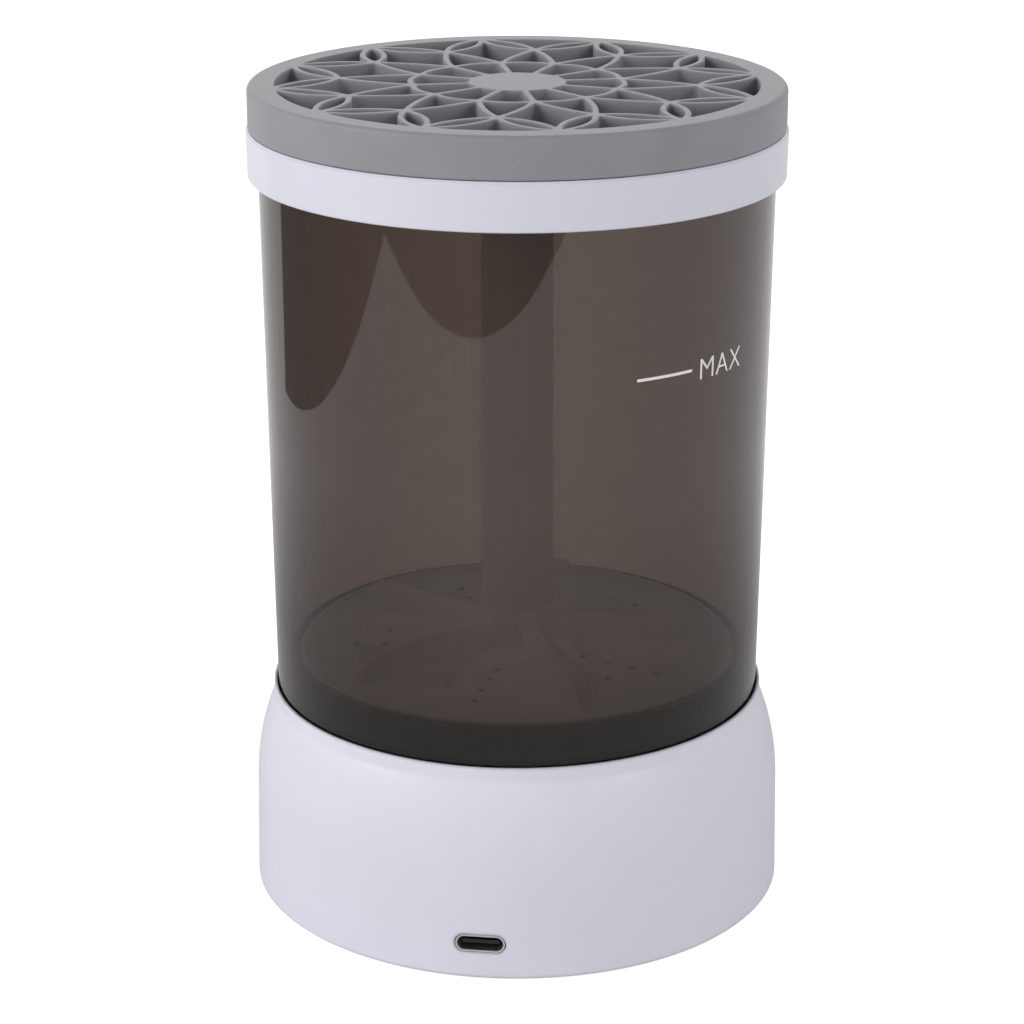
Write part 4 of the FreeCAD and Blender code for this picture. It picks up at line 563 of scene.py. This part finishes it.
def silicone(name, v):
    # Matt silicone: soft clouds, fine skin, and rare specks of dust where a cell's own random
    # number is high and its middle is near.
    material, tree, shader = newMaterial(name)
    coords = addNode(tree, "TexCoord").outputs["Object"]
    cells = addNode(tree, "TexVoronoi", {"Vector": coords, "Scale": v["dustCells"]})
    near = addNode(tree, "Math", {0: cells.outputs["Distance"], 1: v["dustSize"]},
                   operation="LESS_THAN").outputs[0]
    lot = addNode(tree, "SeparateColor", {0: cells.outputs["Color"]})
    rare = addNode(tree, "Math", {0: lot.outputs[0], 1: v["dustRare"]},
                   operation="GREATER_THAN").outputs[0]
    speck = addNode(tree, "Math", {0: near, 1: rare}, operation="MULTIPLY").outputs[0]
    dust = mixed(tree, lot.outputs[1], colour(*v["dustLight"]), colour(*v["dustDark"]))
    clouds = span(tree, noise(tree, v["cloud"], 3), 0, 1)
    skin = mixed(tree, clouds, colour(*v["tint"]), colour(*v["shade"]))
    tree.links.new(mixed(tree, speck, skin, dust), shader.inputs["Base Color"])
    tree.links.new(span(tree, noise(tree, v["gloss"], 3), *v["rough"]),
                   shader.inputs["Roughness"])
    grain(tree, shader, noise(tree, v["skin"], 3), v["skinDepth"])
    shader.inputs["Specular IOR Level"].default_value = v["specular"]
    shader.inputs["Sheen Weight"].default_value = v["sheen"]
    shader.inputs["Sheen Roughness"].default_value = v["sheenRough"]
    return material


smokeValues = {
    "tint": (0.300, 0.200, 0.150),      # the smoke's colour, what it doesn't absorb
    "density": 1000.0,                  # absorption per metre of a black smoke
    "index": 1.57,
    "rough": (0.01, 0.025),
    "gloss": 140,                       # uneven gloss and waves, in patches to the metre
    "waves": 55,
    "waveDepth": 0.006 * mm,
}


def smoke(name, v):
    # Clear smoked plastic: colourless glass round an absorbing body, so that longer ways through
    # the wall are darker. Rays from the lamps pass its faces straight.
    material, tree, shader = newMaterial(name)
    shader.inputs["Base Color"].default_value = colour(1, 1, 1)
    shader.inputs["Transmission Weight"].default_value = 1.0
    shader.inputs["IOR"].default_value = v["index"]
    tree.links.new(span(tree, noise(tree, v["gloss"], 3), *v["rough"]),
                   shader.inputs["Roughness"])
    grain(tree, shader, noise(tree, v["waves"], 2), v["waveDepth"])
    rays = addNode(tree, "LightPath")
    lampRay = addNode(tree, "Math", {0: rays.outputs["Is Shadow Ray"],
                                     1: rays.outputs["Is Diffuse Ray"]}, operation="MAXIMUM")
    gap = addNode(tree, "BsdfTransparent", {"Color": colour(1, 1, 1)})
    either = addNode(tree, "MixShader", {0: lampRay.outputs[0], 1: shader.outputs[0],
                                         2: gap.outputs[0]})
    body = addNode(tree, "VolumeAbsorption", {"Color": colour(*v["tint"]),
                                              "Density": v["density"]})
    output = tree.nodes["Material Output"]
    tree.links.new(either.outputs[0], output.inputs["Surface"])
    tree.links.new(body.outputs[0], output.inputs["Volume"])
    return material


lensValues = {
    "tint": (0.86, 0.87, 0.88),
    "clear": 0.85,             # share of the light that passes
    "index": 1.49,
    "rough": (0.3, 0.5),
    "gloss": 1500,             # uneven gloss and frost, in patches to the metre
    "frost": 3000,
    "frostDepth": 0.003 * mm,
}


def lens(name, v):
    # A frosted light guide.
    material, tree, shader = newMaterial(name)
    shader.inputs["Base Color"].default_value = colour(*v["tint"])
    shader.inputs["Transmission Weight"].default_value = v["clear"]
    shader.inputs["IOR"].default_value = v["index"]
    tree.links.new(span(tree, noise(tree, v["gloss"], 3), *v["rough"]),
                   shader.inputs["Roughness"])
    grain(tree, shader, noise(tree, v["frost"], 2), v["frostDepth"])
    return material


whiteTint, whiteShade = (0.775, 0.778, 0.868), (0.757, 0.760, 0.848)
# The lid is the same white plastic as the shell; its tints are darker as painted shade, so that
# it renders no brighter than the shell.
lidTintWithPaintedShade, lidCloudWithPaintedShade = (0.668, 0.671, 0.752), (0.652, 0.655, 0.734)
finishes = {
    "white_shell": moulded("whiteShell", whiteTint, whiteShade, (0.28, 0.31), depth=0.001,
                           specular=0.4, soften=1.3),
    "cover_white": moulded("coverWhite", whiteTint, whiteShade, (0.42, 0.52), peel=2200,
                           depth=0.012),
    "lid_white": moulded("lidWhite", lidTintWithPaintedShade, lidCloudWithPaintedShade, (0.28, 0.31), depth=0.001,
                         specular=0.4),
    "button_white": moulded("buttonWhite", whiteTint, whiteShade, (0.3, 0.4), peel=2400),
    "wash_white": moulded("washWhite", (0.9, 0.88, 0.87), (0.86, 0.84, 0.83), (0.3, 0.42)),
    # The wash plate glows faintly on faces that look up: painted light inside the tank.
    "plate_white": moulded("plateWhite", (0.9, 0.88, 0.87), (0.86, 0.84, 0.83), (0.3, 0.42),
                           paintedUpLight=0.09),
    "foot_rubber": moulded("footRubber", (0.27, 0.28, 0.30), (0.24, 0.25, 0.27),
                           (0.62, 0.75), peel=3000, depth=0.02),
    "black_plastic": moulded("blackPlastic", (0.014, 0.014, 0.018), (0.010, 0.010, 0.013),
                             (0.3, 0.42), peel=1200),
    "plate_plastic": moulded("platePlastic", (0.62, 0.63, 0.62), (0.56, 0.57, 0.56),
                             (0.45, 0.6), peel=2400, depth=0.01),
    "gear_plastic": moulded("gearPlastic", (0.78, 0.75, 0.66), (0.72, 0.69, 0.6),
                            (0.35, 0.45)),
    "bush_plastic": moulded("bushPlastic", (0.62, 0.6, 0.54), (0.56, 0.54, 0.48),
                            (0.4, 0.5)),
    "seal_rubber": moulded("sealRubber", (0.05, 0.05, 0.052), (0.035, 0.035, 0.037),
                           (0.55, 0.7), peel=2600, depth=0.015),
    "gasket_silicone": moulded("gasketSilicone", (0.55, 0.55, 0.56), (0.5, 0.5, 0.51),
                               (0.5, 0.62), peel=2600),
    "cell_wrap": moulded("cellWrap", (0.03, 0.16, 0.36), (0.025, 0.13, 0.31), (0.22, 0.34)),
    "board_laminate": moulded("boardLaminate", (0.015, 0.14, 0.05), (0.01, 0.1, 0.035),
                              (0.25, 0.4), cloud=500, peel=4000, depth=0.01),
    "screw_steel": metal("screwSteel", (0.6, 0.6, 0.6), (0.45, 0.45, 0.46), (0.25, 0.45)),
    "motor_steel": metal("motorSteel", (0.62, 0.62, 0.6), (0.5, 0.5, 0.49), (0.3, 0.45)),
    "shaft_steel": metal("shaftSteel", (0.68, 0.68, 0.68), (0.6, 0.6, 0.6), (0.12, 0.25)),
    "socket_steel": metal("socketSteel", (0.85, 0.85, 0.84), (0.78, 0.78, 0.77), (0.3, 0.42)),
    "bush_bronze": metal("bushBronze", (0.62, 0.42, 0.22), (0.48, 0.32, 0.17), (0.4, 0.6),
                         stretch=(1, 1, 1)),
    "tank_smoke": smoke("tankSmoke", smokeValues),
    "lens_clear": lens("lensClear", lensValues),
    "holder_silicone": silicone("holderSilicone", siliconeValues),
}
inkFinish = moulded("printInk", (0.86, 0.86, 0.86), (0.8, 0.8, 0.8), (0.4, 0.5), peel=3000)


def dress():
    # Each node takes the finish of its slot in the record.
    for node in nodes.values():
        for place in node.material_slots:
            slot = place.material.name.split(".")[0]
            place.material = finishes[slot]


dress()
softHolder.data.materials.append(finishes["holder_silicone"])
for piece in (washPlate, washLip):
    piece.data.materials.append(finishes["plate_white"])
for mark in (fillLetters, fillLine):
    mark.data.materials.clear()
    mark.data.materials.append(inkFinish)
print("finishes:", len(finishes))


# The studio: a pale table, soft light all round and two lamps.

studioValues = {
    # the table's corners, metres; beyond its two near edges mirrors see the dim room
    "corners": ((1.6, -0.757), (-0.420, -0.357), (-0.313, 0.155), (-1.6, 0.816), (-1.6, 1.6),
                (1.6, 1.6)),
    "tableTint": (0.82, 0.82, 0.83),
    "tableShade": 0.985,          # of the tint, in its fibres
    "tableRough": 0.9,
    "glow": 0.82,                 # what the background adds to the table for the eye
    # the table as mirrors see it is a painted reflection, dimmer near the washer as painted
    # shade
    "paintedMirrorLight": (0.48, 0.84),  # the table in reflections, near the washer and far
    "mirrorReach": (0.16, 0.28),  # from the axis, metres
    "ambient": (1.3, 0.0),        # soft light from the horizon and from overhead
    "room": (0.20, 0.20, 0.205),  # below the table's edges, in reflections
}
lampValues = {
    # name: azimuth from -Y towards +X, elevation, distance, width, watts
    "keyLamp": (-60, 26, 0.8, 0.5, 2.3),
    "fillLamp": (60, 22, 1.5, 0.35, 2.35),
}


def eyeRay(tree):
    # One for rays from the camera and for those through glass.
    rays = addNode(tree, "LightPath")
    return addNode(tree, "Math", {0: rays.outputs["Is Camera Ray"],
                                  1: rays.outputs["Is Transmission Ray"]},
                   operation="MAXIMUM").outputs[0]


def tableFinish(v):
    # Pale paper. For the eye and through glass it also glows, so that only a faint shadow stays.
    # In mirrors it is a painted reflection: a plain glow, dimmer near the washer as painted
    # shade; from below it is clear.
    material, tree, shader = newMaterial("tablePaper")
    fibres = span(tree, noise(tree, 400, 3), 0, 1)
    tint = [t * v["tableShade"] for t in v["tableTint"]]
    tree.links.new(mixed(tree, fibres, colour(*v["tableTint"]), colour(*tint)),
                   shader.inputs["Base Color"])
    shader.inputs["Roughness"].default_value = v["tableRough"]
    shader.inputs["Specular IOR Level"].default_value = 0.0
    glow = addNode(tree, "Math", {0: eyeRay(tree), 1: v["glow"]}, operation="MULTIPLY")
    white = addNode(tree, "Emission", {"Color": colour(1, 1, 1), "Strength": glow.outputs[0]})
    lit = addNode(tree, "AddShader", {0: shader.outputs[0], 1: white.outputs[0]})
    # Painted reflection: mirrors see a glow that grows with the distance from the axis, painted
    # shade near the washer.
    place = addNode(tree, "TexCoord").outputs["Object"]
    away = addNode(tree, "VectorMath", {0: place}, operation="LENGTH").outputs["Value"]
    mirror = addNode(tree, "Emission", {
        "Color": colour(1, 1, 1),
        "Strength": span(tree, away, *v["paintedMirrorLight"], *v["mirrorReach"])})
    rays = addNode(tree, "LightPath")
    bounced = addNode(tree, "Math", {0: rays.outputs["Is Glossy Ray"],
                                     1: rays.outputs["Is Transmission Ray"]},
                      operation="SUBTRACT", use_clamp=True)
    seen = addNode(tree, "MixShader", {0: bounced.outputs[0], 1: lit.outputs[0],
                                       2: mirror.outputs[0]})
    under = addNode(tree, "NewGeometry").outputs["Backfacing"]
    clear = addNode(tree, "BsdfTransparent")
    both = addNode(tree, "MixShader", {0: under, 1: seen.outputs[0], 2: clear.outputs[0]})
    tree.links.new(both.outputs[0], tree.nodes["Material Output"].inputs["Surface"])
    return material


def makeTable(v):
    # A flat sheet of paper with the given corners.
    corners = [(x, y, 0) for x, y in v["corners"]][::-1]
    table = meshFrom("table", corners, [list(range(len(corners)))])
    table.data.materials.append(tableFinish(v))


def makeWorld(v):
    # White for the eye. In reflections white above and the dim room below the level;
    # a soft pale light, weaker overhead, for everything else.
    world = bpy.data.worlds.new("studio")
    bpy.context.scene.world = world
    world.use_nodes = True
    tree = world.node_tree
    tree.nodes.clear()
    rays = addNode(tree, "LightPath")
    up = addNode(tree, "SeparateXYZ", {0: addNode(tree, "TexCoord").outputs["Generated"]})
    above = addNode(tree, "Math", {0: up.outputs["Z"], 1: 0.0}, operation="GREATER_THAN")
    mirror = addNode(tree, "Background",
                     {"Color": mixed(tree, above.outputs[0], colour(*v["room"]),
                                     colour(1, 1, 1))})
    strength = span(tree, up.outputs["Z"], *v["ambient"], 0, 1)
    soft = addNode(tree, "Background", {"Color": colour(1, 1, 1), "Strength": strength})
    white = addNode(tree, "Background", {"Color": colour(1, 1, 1), "Strength": 1.0})
    first = addNode(tree, "MixShader", {0: rays.outputs["Is Glossy Ray"], 1: soft.outputs[0],
                                        2: mirror.outputs[0]})
    second = addNode(tree, "MixShader", {0: eyeRay(tree), 1: first.outputs[0],
                                         2: white.outputs[0]})
    output = tree.nodes.new("ShaderNodeOutputWorld")
    tree.links.new(second.outputs[0], output.inputs["Surface"])


def makeLamp(name, azimuth, elevation, distance, width, watts):
    # A square lamp on a sphere round the washer's middle, facing it.
    middle = (cadBox[0] + cadBox[1]) / 2
    a, e = math.radians(azimuth), math.radians(elevation)
    way = type(middle)((math.sin(a) * math.cos(e), -math.cos(a) * math.cos(e), math.sin(e)))
    data = bpy.data.lights.new(name, "AREA")
    data.size = width
    data.energy = watts
    lamp = bpy.data.objects.new(name, data)
    lamp.location = middle + way * distance
    lamp.rotation_euler = way.to_track_quat("Z", "Y").to_euler()
    bpy.context.scene.collection.objects.link(lamp)


makeTable(studioValues)
makeWorld(studioValues)
for lampName, values in lampValues.items():
    makeLamp(lampName, *values)
bpy.context.scene.view_settings.view_transform = "Standard"
print("studio lit")
